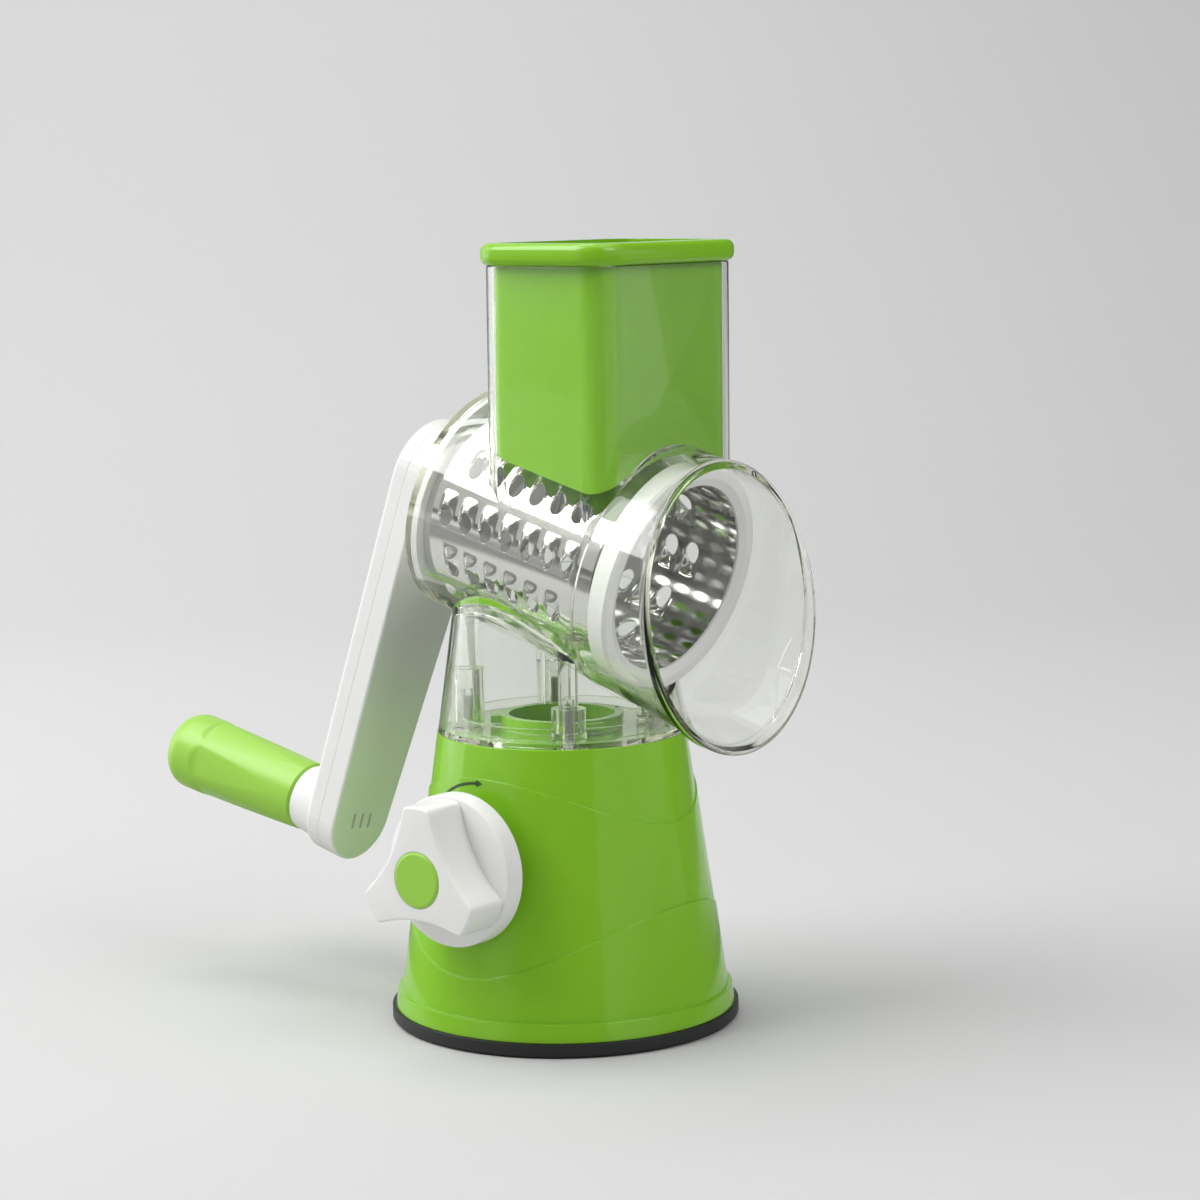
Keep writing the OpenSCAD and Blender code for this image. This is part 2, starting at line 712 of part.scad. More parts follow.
module housing() {
    bead_place = 1 - bead_h / (lip_s - flare_start);
    outer = concat([[flare_place(collar_s), collar_r]],
        [for (i = [0 : flare_steps]) let (t = bead_place * i / flare_steps) [t, flare_swell(t)]],
        [[bead_place + seat / bead_h, lip_r], [1, lip_r]]);
    inner = concat([[flare_place(collar_s + clear_wall), collar_r - clear_wall]],
        [for (i = [0 : flare_steps]) let (t = i / flare_steps) [t, flare_swell(t) - clear_wall + bead_w * t]],
        [[1 + bead_h / lip_s, flare_swell(1) - clear_wall + bead_w]]);
    color("gainsboro", 0.35) difference() {
        union() {
            on_axis(rear_s) cylinder(r = tube_r, h = collar_s + clear_wall / 2 - rear_s);
            on_axis(rear_s) rotate([180, 0, 0]) cylinder(r = bearing_boss_r, h = rear_s - bearing_end);
            translate([0, -chute_mid, chute_low]) linear_extrude(chute_top - chute_low)
                round_rect(chute_x, chute_y, chute_corner);
            at_posts() translate([0, 0, post_foot_z]) cylinder(r = post_r, h = axis_z - post_foot_z);
            on_axis() flare_loft(outer);
        }
        on_axis(rear_s + rear_wall_t) cylinder(r = tube_in_r, h = flare_start - rear_s - rear_wall_t);
        on_axis() flare_loft(inner);
        on_axis(bearing_end - cut) cylinder(r = journal_r + run, h = arm_front);
        translate([0, -chute_mid, chute_low]) linear_extrude(chute_top - chute_low + cut)
            round_rect(chute_in_x, chute_in_y, chute_in_corner);
        at_posts() translate([0, 0, post_foot_z - cut]) cylinder(r = post_screw_r, h = post_screw_len);
    }
}

module housing_screws() {
    color("silver") at_posts() translate([0, 0, base_h + post_screw_head_h + seat])
        screw(post_screw_r - seat, post_screw_len, post_screw_head_r, post_screw_head_h);
}

// Drum: each cutting hole has a raised lip on its leading side, pressed out of the steel

module at_holes() {
    for (row = [0 : hole_rows - 1]) let (long_row = row % 2 == 0, count = holes_in_row - (long_row ? 0 : 1))
        for (i = [0 : count - 1])
            rotate([0, 0, row * 360 / hole_rows])
                translate([0, 0, (drum_back + drum_ring_back) / 2 + (i - (count - 1) / 2) * hole_pitch])
                    rotate([0, 90, 0]) rotate([0, 0, 90]) children();
}

// An awning that arches over the hole's leading half and slopes back into the drum. The arch is a
// cylinder that lies along the drum, and its sides slope in to a narrower crest.
module scoop(inset) {
    arch_r = (lip_len * lip_len + lip_h * lip_h) / (2 * lip_h);
    half_w = hole_w / 2 + lip_t - inset;
    crest_w = hole_w / 3 - inset / 2;
    intersection() {
        translate([0, 0, drum_r + lip_h - arch_r]) rotate([90, 0, 0])
            cylinder(r = arch_r - inset, h = 2 * hole_w, center = true);
        rotate([90, 0, 90]) linear_extrude(lip_len) polygon([
            [-half_w, drum_r - 2 * drum_t], [half_w, drum_r - 2 * drum_t], [half_w, drum_r + lip_h / 4 - inset / 4],
            [crest_w, drum_r + lip_h], [-crest_w, drum_r + lip_h], [-half_w, drum_r + lip_h / 4 - inset / 4]]);
    }
}

module drum_shell() {
    color("silver") on_axis() difference() {
        union() {
            translate([0, 0, drum_back]) cylinder(r = drum_r, h = drum_front - drum_back);
            at_holes() scoop(0);
        }
        translate([0, 0, drum_back - cut]) cylinder(r = drum_r - drum_t, h = drum_front - drum_back + 2 * cut);
        at_holes() {
            translate([-seat, 0, 0]) scoop(lip_t);
            translate([0, 0, drum_r - 2 * drum_t]) linear_extrude(2 * drum_t + lip_h / 4) polygon([
                for (a = [90 : 36 : 270]) [hole_len / 2 * cos(a), hole_w / 2 * sin(a)]]);
        }
    }
}

module drum_front_ring() {
    color("white") on_axis() rotate_extrude() polygon([
        [drum_r + seat, drum_ring_back], [drum_ring_back_r, drum_ring_back], [drum_ring_r, drum_ring_out - front_edge],
        [drum_ring_r - front_edge, drum_ring_out], [drum_r - drum_t + drum_ring_bevel, drum_ring_out],
        [drum_r - drum_t - drum_ring_lip_in, drum_front + seat + front_edge],
        [drum_r - drum_t - drum_ring_lip_in, drum_front + seat], [drum_r + seat, drum_front + seat]]);
}

module hex_socket(extra, h) {
    cylinder(r = hex_r + extra, h = h, $fn = 6);
}

module drum_rear_hub() {
    back = drum_back - hub_flange_t;
    skirt_out = drum_r - drum_t - seat;
    color("white") on_axis() difference() {
        union() {
            translate([0, 0, back]) cylinder(r = hub_flange_r, h = hub_flange_t - seat);
            translate([0, 0, back]) pipe(skirt_out, skirt_out - hub_skirt_wall, hub_flange_t + hub_skirt_h);
            translate([0, 0, back]) cylinder(r = hub_boss_r, h = hub_boss_h);
            around(6) translate([hub_boss_r - hub_skirt_wall / 2, -hub_skirt_wall / 2, back])
                cube([skirt_out - hub_boss_r, hub_skirt_wall, hub_flange_t + hub_skirt_h - cut]);
        }
        translate([0, 0, back - cut]) hex_socket(seat, hub_boss_h - hub_web_t + cut);
    }
}

// Crank

module drive_spindle() {
    journal_end = rear_s + rear_wall_t - run;
    hex_end = drum_back - hub_flange_t + hex_len;
    color("whitesmoke") difference() {
        union() {
            on_crank(-shank_back) translate([0, 0, (shank_back - arm_front + cut) / 2])
                cube([shank_w, shank_w, shank_back - arm_front + cut], center = true);
            on_crank(-arm_front) cylinder(r = hub_socket_r, h = thrust_end + arm_front);
            on_crank(-arm_front) cylinder(r = journal_r, h = journal_end + arm_front);
            on_axis(journal_end - cut) hex_socket(0, hex_end - journal_end + cut);
        }
        on_crank(-shank_back - cut) cylinder(r = crank_screw_r, h = crank_screw_len);
    }
}

module crank_socket(extra, from, to) {
    on_crank(-from) translate([0, 0, (from - to) / 2])
        cube([shank_w + 2 * extra, shank_w + 2 * extra, from - to], center = true);
}

module crank_arm() {
    wall = arm_wall;
    web = arm_back - shank_back - seat;
    color("white") difference() {
        union() {
            difference() {
                on_crank(-arm_seam) rotate([0, 180, 0]) soft_bar(hub_r, arm_end_r, arm_len, arm_back - arm_seam, back_edge);
                difference() {
                    on_crank(-arm_back + wall) linear_extrude(arm_t) tapered_bar(hub_r - wall, arm_end_r - wall, arm_len);
                    on_crank(-arm_back) cylinder(r = hub_socket_r + wall, h = arm_t);
                    on_crank(-arm_back) translate([0, -arm_len, 0]) cylinder(r = pin_flange_r + wall, h = arm_t);
                }
            }
            intersection() {
                on_grip(-wall) cylinder(r1 = arm_end_r - back_edge, r2 = grip_neck_r, h = collar_h + wall);
                on_crank(-arm_back - 2 * collar_h) translate([-hub_r, -arm_len - hub_r, 0])
                    cube([2 * hub_r, 2 * hub_r, 2 * collar_h + wall]);
            }
        }
        crank_socket(seat, arm_back - web, arm_seam - cut);
        on_crank(-arm_back - cut) cylinder(r = crank_screw_r + seat, h = arm_t);
        on_crank(-arm_back - cut) cylinder(r = crank_screw_head_r + seat, h = crank_screw_head_h + seat + cut);
        on_grip(-arm_t) cylinder(r = grip_pin_r + seat / 2, h = arm_t + collar_h + cut);
        on_grip(-arm_t) cylinder(r = pin_flange_r + seat, h = arm_t - wall);
    }
}

module crank_cover() {
    wall = arm_wall;
    depth = arm_seam - arm_front;
    color("white") difference() {
        on_crank(-arm_seam + seat / 2) soft_bar(hub_r, arm_end_r, arm_len, depth - seat / 2, front_edge);
        difference() {
            on_crank(-arm_seam - cut) linear_extrude(depth - wall + cut) tapered_bar(hub_r - wall, arm_end_r - wall, arm_len);
            on_crank(-arm_seam) cylinder(r = hub_socket_r + wall, h = depth);
            on_crank(-arm_seam) translate([0, -arm_len, 0]) cylinder(r = pin_flange_r + wall, h = depth);
        }
        crank_socket(seat, arm_seam + cut, arm_front - cut);
        on_crank(-arm_front - slot_depth) for (i = [-1, 0, 1])
            translate([i * slot_gap, -arm_len, 0]) rotate([0, 0, slot_lean])
                linear_extrude(slot_depth + cut) stadium(slot_len, slot_w);
    }
}

module crank_screw() {
    color("silver") on_crank(-arm_back + crank_screw_head_h + seat / 2)
        screw(crank_screw_r - seat, crank_screw_len - crank_screw_head_h, crank_screw_head_r, crank_screw_head_h);
}

module grip_spindle() {
    color("silver") union() {
        on_grip(-arm_wall - pin_flange_t - seat) cylinder(r = pin_flange_r, h = pin_flange_t);
        on_grip(-arm_wall - pin_flange_t) cylinder(r = grip_pin_r, h = grip_pin_len + arm_wall + pin_flange_t);
        on_grip(grip_pin_len - barb_h) cylinder(r = barb_r, h = barb_h / 2);
        on_grip(grip_pin_len - barb_h / 2) cylinder(r1 = barb_r, r2 = grip_pin_r - cut, h = barb_h / 2 + cut);
    }
}

module handle_grip() {
    low = collar_h + ease;
    wide = low + grip_len * grip_wide_share;
    top = low + grip_len;
    // Shallow flutes start at a notch near the free end and fade out towards the collar
    fade = low + grip_len * flute_fade_share;
    notch = low + grip_len * flute_notch_share;
    fade_r = grip_neck_r + (grip_r - grip_neck_r) * (fade - low) / (wide - low);
    notch_r = grip_r - flute_depth;
    color("yellowgreen") difference() {
        on_grip() rotate_extrude() polygon(concat(
            [[0, low], [grip_neck_r - front_edge, low], [grip_neck_r, low + front_edge], [grip_r, wide]],
            [for (a = [0 : 10 : 90]) [grip_r - grip_end_round + grip_end_round * cos(a),
                                      top - grip_end_round + grip_end_round * sin(a)]],
            [[0, top]]));
        on_grip(low - cut) cylinder(r = grip_pin_r + run, h = grip_pin_len - low + 3 * cut);
        on_grip(grip_pin_len - barb_h - ease) cylinder(r = barb_r + ease, h = barb_h + 3 * cut);
        on_grip(fade) around(flute_count) translate([fade_r, 0, 0])
            rotate([0, atan((notch_r - fade_r) / (notch - fade)), 0]) translate([flute_r, 0, -flute_lead])
                cylinder(r = flute_r, h = norm([notch - fade, notch_r - fade_r]) + flute_lead);
    }
}

// Pusher

module pusher() {
    x = chute_in_x - 2 * pusher_gap;
    y = chute_in_y - 2 * pusher_gap;
    corner = chute_in_corner - pusher_gap;
    centre = drum_r + pusher_drum_gap - underside_r;
    low = axis_z;
    color("yellowgreen") difference() {
        union() {
            translate([0, -chute_mid, low]) linear_extrude(chute_top + seat - low) round_rect(x, y, corner);
            translate([0, -chute_mid, chute_top])
                soft_slab(chute_x + 2 * rim_over, chute_y + 2 * rim_over, chute_corner + rim_over, rim_h, rim_edge);
        }
        on_axis(-2 * foot_r) translate([0, centre, 0]) cylinder(r = underside_r, h = 4 * foot_r, $fn = 180);
        difference() {
            translate([0, -chute_mid, low - cut]) linear_extrude(chute_top + rim_h - low + 2 * cut)
                round_rect(x - 2 * pusher_wall, y - 2 * pusher_wall, corner - pusher_wall);
            on_axis(-2 * foot_r) translate([0, centre, 0]) cylinder(r = underside_r + pusher_floor_t, h = 4 * foot_r);
        }
    }
}

base_shell();
base_plate();
base_screws();
suction_pad();
pad_stud();
return_spring();
cam_shaft();
suction_knob();
knob_screw();
knob_cap();
skirt();
housing();
housing_screws();
drum_shell();
drum_front_ring();
drum_rear_hub();
drive_spindle();
crank_arm();
crank_cover();
crank_screw();
grip_spindle();
handle_grip();
pusher();
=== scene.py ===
# %% [markdown]
# # A rotary drum shredder, dressed in its real materials
# The shapes of this kitchen tool come from an exact CAD model. This lesson gives the model its looks:
# glossy lime-green and white plastic, a clear housing, a mirror-polished drum, and a quiet photo studio.
# Everything is in metres. +Z is up, the outlet looks to -Y, and the suction knob is on the -X side.

# %% Load the frame
import bmesh
import bpy
import json
import math
from mathutils import Matrix, Vector


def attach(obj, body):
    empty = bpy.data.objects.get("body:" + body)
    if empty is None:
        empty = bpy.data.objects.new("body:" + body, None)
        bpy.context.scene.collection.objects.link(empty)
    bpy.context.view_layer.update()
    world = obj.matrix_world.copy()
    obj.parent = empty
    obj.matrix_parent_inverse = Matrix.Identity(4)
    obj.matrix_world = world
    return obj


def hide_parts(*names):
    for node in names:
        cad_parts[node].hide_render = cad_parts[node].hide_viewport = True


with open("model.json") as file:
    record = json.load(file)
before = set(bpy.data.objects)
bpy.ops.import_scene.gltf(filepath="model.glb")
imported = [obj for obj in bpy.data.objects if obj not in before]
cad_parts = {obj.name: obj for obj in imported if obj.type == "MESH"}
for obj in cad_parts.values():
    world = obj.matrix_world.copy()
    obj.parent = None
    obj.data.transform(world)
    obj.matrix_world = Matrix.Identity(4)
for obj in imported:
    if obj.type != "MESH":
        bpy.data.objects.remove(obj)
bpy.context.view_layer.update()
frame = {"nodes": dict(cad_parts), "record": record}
nodes = frame["nodes"]
MM = 0.001

# %% [markdown]
# ## The camera
# The photograph looks down a little, from the corner between the knob and the outlet. The camera is
# built from its place and three directions: right, up and forward. A long lens, about 93 mm on a
# full frame, keeps the tall chute nearly straight.

# %% Camera
CAMERA_SIDE = math.radians(-51.91)
CAMERA_FAR = 1.09086
CAMERA_HIGH = 0.29637
CAMERA_YAW = math.radians(-0.75)
CAMERA_PITCH = math.radians(7.63)
CAMERA_ROLL = math.radians(-0.74)
PHOTO_SIDE = 1200
FOCAL_PIXELS = 3091.47
UP = Vector((0, 0, 1))


def camera_axes():
    """Right, up and forward of the camera."""
    level = Vector((-math.sin(CAMERA_SIDE), math.cos(CAMERA_SIDE), 0))
    level = Matrix.Rotation(CAMERA_YAW, 3, "Z") @ level
    right = Vector((level.y, -level.x, 0))
    forward = level * math.cos(CAMERA_PITCH) - UP * math.sin(CAMERA_PITCH)
    up = right.cross(forward)
    c, s = math.cos(CAMERA_ROLL), math.sin(CAMERA_ROLL)
    return right * c + up * s, up * c - right * s, forward


cam_right, cam_up, cam_forward = camera_axes()
cam_place = Vector((math.sin(CAMERA_SIDE) * CAMERA_FAR, -math.cos(CAMERA_SIDE) * CAMERA_FAR, CAMERA_HIGH))
cam_data = bpy.data.cameras.new("photo_camera")
cam_data.sensor_width = 36
cam_data.lens = 36 * FOCAL_PIXELS / PHOTO_SIDE
cam_data.clip_end = 20
camera = bpy.data.objects.new("photo_camera", cam_data)
bpy.context.scene.collection.objects.link(camera)
cam_turn = Matrix((cam_right, cam_up, -cam_forward)).transposed().to_4x4()
camera.matrix_world = Matrix.Translation(cam_place) @ cam_turn
bpy.context.scene.camera = camera
print("camera", [round(c, 3) for c in cam_place], "lens", round(cam_data.lens, 2))

# %% [markdown]
# ## Small helpers for shader nodes
# A node tree is easier to read when each node is one line. `add` makes a node, sets its fields, and
# takes a value or a link for each of its inputs. An input goes by its name, or by its number as i0, i1
# and so on. `maths`, `along` and `past` are the small sums that the looks below need again and again.

# %% Node helpers


def add(tree, kind, fields=None, **inputs):
    """One shader node. An input is a number, a colour, or another node's output."""
    node = tree.nodes.new(kind)
    for key, value in (fields or {}).items():
        setattr(node, key, value)
    for key, value in inputs.items():
        by_number = key[0] == "i" and key[1:].isdigit()
        socket = node.inputs[int(key[1:]) if by_number else key.replace("_", " ")]
        if isinstance(value, bpy.types.NodeSocket):
            tree.links.new(value, socket)
        else:
            socket.default_value = value
    return node


def maths(tree, operation, *values):
    """One Math node, and its result."""
    sockets = {f"i{k}": value for k, value in enumerate(values)}
    return add(tree, "ShaderNodeMath", {"operation": operation}, **sockets).outputs[0]


def along(tree, place, way):
    """How far a point lies along a direction."""
    return add(tree, "ShaderNodeVectorMath", {"operation": "DOT_PRODUCT"}, i0=place, i1=way).outputs["Value"]


def past(tree, value, start, end):
    """A soft step: 0 below start, 1 past end."""
    step = add(tree, "ShaderNodeMapRange", {"interpolation_type": "SMOOTHSTEP"}, Value=value)
    step.inputs["From Min"].default_value = start
    step.inputs["From Max"].default_value = end
    return step.outputs["Result"]


def blank_material(name):
    """A material with an empty tree, and its output node."""
    material = bpy.data.materials.new(name)
    material.use_nodes = True
    material.node_tree.nodes.clear()
    return material, material.node_tree, material.node_tree.nodes.new("ShaderNodeOutputMaterial")


def new_group(name, inputs, outputs):
    """A shader node group. inputs is {name: (socket kind, default)}."""
    group = bpy.data.node_groups.new(name, "ShaderNodeTree")
    for label, (kind, default) in inputs.items():
        socket = group.interface.new_socket(name=label, in_out="INPUT", socket_type=kind)
        socket.default_value = default
    for label, kind in outputs.items():
        group.interface.new_socket(name=label, in_out="OUTPUT", socket_type=kind)
    return group, group.nodes.new("NodeGroupInput").outputs, group.nodes.new("NodeGroupOutput").inputs


# %% [markdown]
# ## The surface of moulded plastic
# A moulding is never perfectly even. Its colour drifts by a hair where the wall cools slowly, its gloss
# changes a little from place to place, and its corners are softly rounded. One node group makes all
# three, so that the green, the white and the rubber share it with their own values. The Bevel node
# rounds the shading of the sharp CAD edges and leaves the shape alone.

# %% Moulded surface group
moulded, inside, out = new_group(
    "moulded_surface",
    {"Colour": ("NodeSocketColor", (0.5, 0.5, 0.5, 1)), "Drift": ("NodeSocketFloat", 0.04),
     "Gloss": ("NodeSocketFloat", 0.2), "Gloss drift": ("NodeSocketFloat", 0.04),
     "Grain": ("NodeSocketFloat", 0.1), "Grain size": ("NodeSocketFloat", 900.0),
     "Edge": ("NodeSocketFloat", 0.0004)},
    {"Colour": "NodeSocketColor", "Roughness": "NodeSocketFloat", "Normal": "NodeSocketVector"})
place = add(moulded, "ShaderNodeTexCoord").outputs["Object"]
slow = add(moulded, "ShaderNodeTexNoise", Vector=place, Scale=28.0, Detail=2.0).outputs["Fac"]
fine = add(moulded, "ShaderNodeTexNoise", Vector=place, Scale=inside["Grain size"], Detail=2.0).outputs["Fac"]
sway = maths(moulded, "SUBTRACT", slow, 0.5)
lift = maths(moulded, "MULTIPLY_ADD", sway, inside["Drift"], 1.0)
tinted = add(moulded, "ShaderNodeVectorMath", {"operation": "SCALE"}, i0=inside["Colour"], Scale=lift)
moulded.links.new(tinted.outputs[0], out["Colour"])
sheen = maths(moulded, "MULTIPLY_ADD", sway, inside["Gloss drift"], inside["Gloss"])
moulded.links.new(sheen, out["Roughness"])
soft_edge = add(moulded, "ShaderNodeBevel", {"samples": 4}, Radius=inside["Edge"]).outputs[0]
bump = add(moulded, "ShaderNodeBump", Strength=inside["Grain"], Distance=0.0001, Height=fine,
           Normal=soft_edge)
moulded.links.new(bump.outputs[0], out["Normal"])
print("group", moulded.name, "with", len(moulded.nodes), "nodes")

# %% [markdown]
# ## Green, white and black
# Two greens are needed. The base and the pusher are glossy, but the grip and the knob's cap are duller,
# and their paler green is a painted sheen: the lamps' haze on these lit parts, put into the colour. The ink
# of the printed arrow and the black rubber of the foot share the same recipe, and only the rubber has a
# grain that can be seen.

# %% Moulded plastics
DRIFT, GLOSS_DRIFT, EDGE_ROUND = 0.05, 0.04, 0.0004


def moulded_plastic(name, colour, gloss, grain=0.012, grain_size=420.0):
    """A plastic or rubber with the moulded surface."""
    material, tree, end = blank_material(name)
    skin = add(tree, "ShaderNodeGroup", {"node_tree": moulded}, Colour=(*colour, 1), Drift=DRIFT,
               Gloss=gloss, Gloss_drift=GLOSS_DRIFT, Grain=grain, Grain_size=grain_size, Edge=EDGE_ROUND)
    body = add(tree, "ShaderNodeBsdfPrincipled", Base_Color=skin.outputs["Colour"],
               Roughness=skin.outputs["Roughness"], Normal=skin.outputs["Normal"])
    body.inputs["IOR"].default_value = 1.5
    tree.links.new(body.outputs[0], end.inputs["Surface"])
    return material


green_plastic = moulded_plastic("lime_green_plastic", (0.225, 0.515, 0.02), 0.1)
# Duller green, with a painted sheen: its colour is lightened to stand in for the lamps' haze on lit parts.
satin_green_painted_sheen = moulded_plastic("satin_green_plastic", (0.31, 0.6, 0.065), 0.32)
white_plastic = moulded_plastic("white_plastic", (0.8, 0.8, 0.785), 0.25)
arrow_ink = moulded_plastic("dark_green_ink", (0.03, 0.07, 0.012), 0.4)
rubber = moulded_plastic("black_rubber", (0.008, 0.008, 0.01), 0.5, grain=0.3, grain_size=1600.0)
print("plastics:", [m.name for m in (green_plastic, satin_green_painted_sheen, white_plastic, arrow_ink, rubber)])

# %% [markdown]
# ## Clear plastic
# The housing is a hard clear plastic. It bends light as glass does, with an index of refraction near
# 1.5. Lamps have to get through it, or everything inside would stand in the dark, so the rays that look
# for a lamp see a nearly clear film instead of the solid. Straight through a wall it has no colour, but
# its edges, where light runs a long way inside, look olive, so the solid absorbs a little blue.

# %% Clear plastic
clear_plastic, tree, end = blank_material("clear_plastic")
skin = add(tree, "ShaderNodeGroup", {"node_tree": moulded}, Colour=(0.97, 0.985, 0.96, 1), Drift=0.01,
           Gloss=0.02, Gloss_drift=0.02, Grain=0.01, Grain_size=300.0, Edge=0.0003)
glass = add(tree, "ShaderNodeBsdfPrincipled", Base_Color=skin.outputs["Colour"],
            Roughness=skin.outputs["Roughness"], Normal=skin.outputs["Normal"])
glass.inputs["IOR"].default_value = 1.5
glass.inputs["Transmission Weight"].default_value = 1.0
film = add(tree, "ShaderNodeBsdfTransparent", Color=(0.93, 0.94, 0.93, 1))
through = add(tree, "ShaderNodeMixShader", Fac=add(tree, "ShaderNodeLightPath").outputs["Is Shadow Ray"],
              i1=glass.outputs[0], i2=film.outputs[0])
tree.links.new(through.outputs[0], end.inputs["Surface"])
tint = add(tree, "ShaderNodeVolumeAbsorption", Color=(0.8, 0.8, 0.62, 1), Density=22.0)
tree.links.new(tint.outputs[0], end.inputs["Volume"])
print("clear plastic with", len(tree.nodes), "nodes")

# %% [markdown]
# ## Polished steel
# The drum is punched from stainless sheet and polished until it mirrors the studio. A polished sheet
# still has hairlines round the drum and a roughness that wanders a little. Screws and the spring are
# plain drawn steel, so they are rougher.

# %% Steels


def steel(name, colour, gloss, hairline):
    """A bare metal with fine lines and an uneven polish."""
    material, tree, end = blank_material(name)
    where = add(tree, "ShaderNodeTexCoord").outputs["Object"]
    patches = add(tree, "ShaderNodeTexNoise", Vector=where, Scale=45.0, Detail=3.0).outputs["Fac"]
    stretched = add(tree, "ShaderNodeMapping", Vector=where, Scale=(180.0, 5200.0, 180.0)).outputs[0]
    lines = add(tree, "ShaderNodeTexNoise", Vector=stretched, Scale=1.0, Detail=1.0).outputs["Fac"]
    rough = maths(tree, "MULTIPLY_ADD", patches, gloss, gloss * 0.5)
    metal = add(tree, "ShaderNodeBsdfPrincipled", Base_Color=(*colour, 1), Roughness=rough, Metallic=1.0)
    soft = add(tree, "ShaderNodeBevel", {"samples": 4}, Radius=0.0003).outputs[0]
    dents = add(tree, "ShaderNodeBump", Strength=hairline, Distance=0.00002, Height=lines, Normal=soft)
    tree.links.new(dents.outputs[0], metal.inputs["Normal"])
    tree.links.new(metal.outputs[0], end.inputs["Surface"])
    return material


drum_steel = steel("polished_drum_steel", (0.76, 0.755, 0.745), 0.08, 0.1)
screw_steel = steel("plain_steel", (0.55, 0.55, 0.55), 0.35, 0.4)
print("steels:", drum_steel.name, "and", screw_steel.name)

# %% [markdown]
# ## Which piece wears what
# The record of the frame names a material slot for each CAD piece, and each slot has its look. The cap
# of the knob is in the green slot too, but it wears the duller green, made paler by a painted sheen.

# %% Give each CAD node its material
SLOT_LOOKS = {"green_plastic": green_plastic, "white_plastic": white_plastic, "clear_plastic": clear_plastic,
              "drum_steel": drum_steel, "screw_steel": screw_steel, "rubber": rubber}
# The knob's cap wears the paler green, whose lightness is a painted sheen.
OWN_LOOKS = {"knob_cap": satin_green_painted_sheen}
for part in frame["record"]["subparts"]:
    mesh = nodes[part["node"]].data
    mesh.materials.clear()
    mesh.materials.append(OWN_LOOKS.get(part["node"], SLOT_LOOKS[part["material_slot"]]))
print("materials:", sorted(SLOT_LOOKS), "own looks:", sorted(OWN_LOOKS))

# %% [markdown]
# ## Helpers for shapes
# Each new piece starts as a bmesh and ends as an object at the origin, with its place in its mesh.
# Bodies that run into each other, such as a tube and a tower, are easiest as separate closed shapes
# that a Boolean modifier joins or cuts. Edges sharper than a set angle keep a crisp line.

# %% Shape helpers


def mesh_object(name, bm):
    """Turn a bmesh into an object at the origin."""
    mesh = bpy.data.meshes.new(name)
    bm.to_mesh(mesh)
    bm.free()
    thing = bpy.data.objects.new(name, mesh)
    bpy.context.scene.collection.objects.link(thing)
    return thing


def combine(body, other, operation):
    """Join or cut body with another object, which goes away."""
    change = body.modifiers.new("shape", "BOOLEAN")
    change.operation, change.object, change.solver = operation, other, "EXACT"
    bpy.context.view_layer.update()
    changed = body.evaluated_get(bpy.context.evaluated_depsgraph_get())
    body.data = bpy.data.meshes.new_from_object(changed)
    body.modifiers.clear()
    bpy.data.objects.remove(other)


def rod(bm, r, low, high, place=Matrix(), sides=48):
    """A round bar from low to high along the Z of a place."""
    bmesh.ops.create_cone(bm, cap_ends=True, radius1=r, radius2=r, depth=high - low, segments=sides,
                          matrix=place @ Matrix.Translation((0, 0, (low + high) / 2)))


def turned(bm, profile, place, sides=128):
    """A turned shape from [radius, height] points, by a full spin round the Z of a place."""
    verts = [bm.verts.new(place @ Vector((r, 0, h))) for r, h in profile]
    edges = [bm.edges.new(pair) for pair in zip(verts, verts[1:])]
    axis = (place.to_3x3() @ UP).normalized()
    bmesh.ops.spin(bm, geom=verts + edges, cent=place.translation, axis=axis, angle=2 * math.pi,
                   steps=sides, use_merge=True)
    bmesh.ops.remove_doubles(bm, verts=bm.verts, dist=1e-6)
    bmesh.ops.recalc_face_normals(bm, faces=bm.faces)


def finish_piece(thing, body, slot, look, *stands_for, crease=30):
    """Clean the mesh, smooth it up to a crease angle, and hang it on its body."""
    bm = bmesh.new()
    bm.from_mesh(thing.data)
    bmesh.ops.remove_doubles(bm, verts=bm.verts, dist=2e-6)
    bmesh.ops.dissolve_degenerate(bm, dist=2e-6, edges=bm.edges)
    loose = [e for e in bm.edges if len(e.link_faces) != 2]
    for face in bm.faces:
        face.smooth = True
        face.material_index = 0
    bm.to_mesh(thing.data)
    bm.free()
    thing.data.set_sharp_from_angle(angle=math.radians(crease))
    thing.data.materials.clear()
    thing.data.materials.append(look)
    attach(thing, body)
    if stands_for:
        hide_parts(*stands_for)
    print(thing.name, len(thing.data.polygons), "faces, open edges:", len(loose))


# %% [markdown]
# ## The clear housing
# The real housing is one clear moulding: a tube round the drum, a step up to a collar, an outlet that
# flares and tips forward, and a square tower to feed the vegetables in. Clear plastic shows every facet,
# so it is modelled again with fine rings. The flare is a loft: rings that grow, sink and turn from the
# tube's end to the lip, bridged one to the next. The hollow inside is a second loft that is cut out.

# %% Sizes of the tube and the outlet
AXIS_TILT, AXIS_HIGH = math.radians(15.6), 176 * MM
DRUM_AXIS = Matrix.Translation((0, 0, AXIS_HIGH)) @ Matrix.Rotation(math.radians(90) + AXIS_TILT, 4, "X")
RING_SIDES = 144
WALL = 2.3 * MM
TUBE_R = 42.4 * MM
REAR = -35.4 * MM
REAR_WALL = 2 * MM
COLLAR, COLLAR_R = 40 * MM, 44.7 * MM
FLARE, LIP = 47 * MM, 79.2 * MM
LIP_R, LIP_DROP, LIP_TURN = 50.15 * MM, 2.3 * MM, math.radians(21.9)
BEAD_H, BEAD_W, LIP_ROUND = 4 * MM, 0.7 * MM, 0.9 * MM
FLARE_SWELL = 1.6
FLARE_STEPS = 14


def flare_radius(t):
    """Outer radius of the outlet, from the collar (0) to the lip (1)."""
    return COLLAR_R + (LIP_R - BEAD_W - COLLAR_R) * t ** FLARE_SWELL


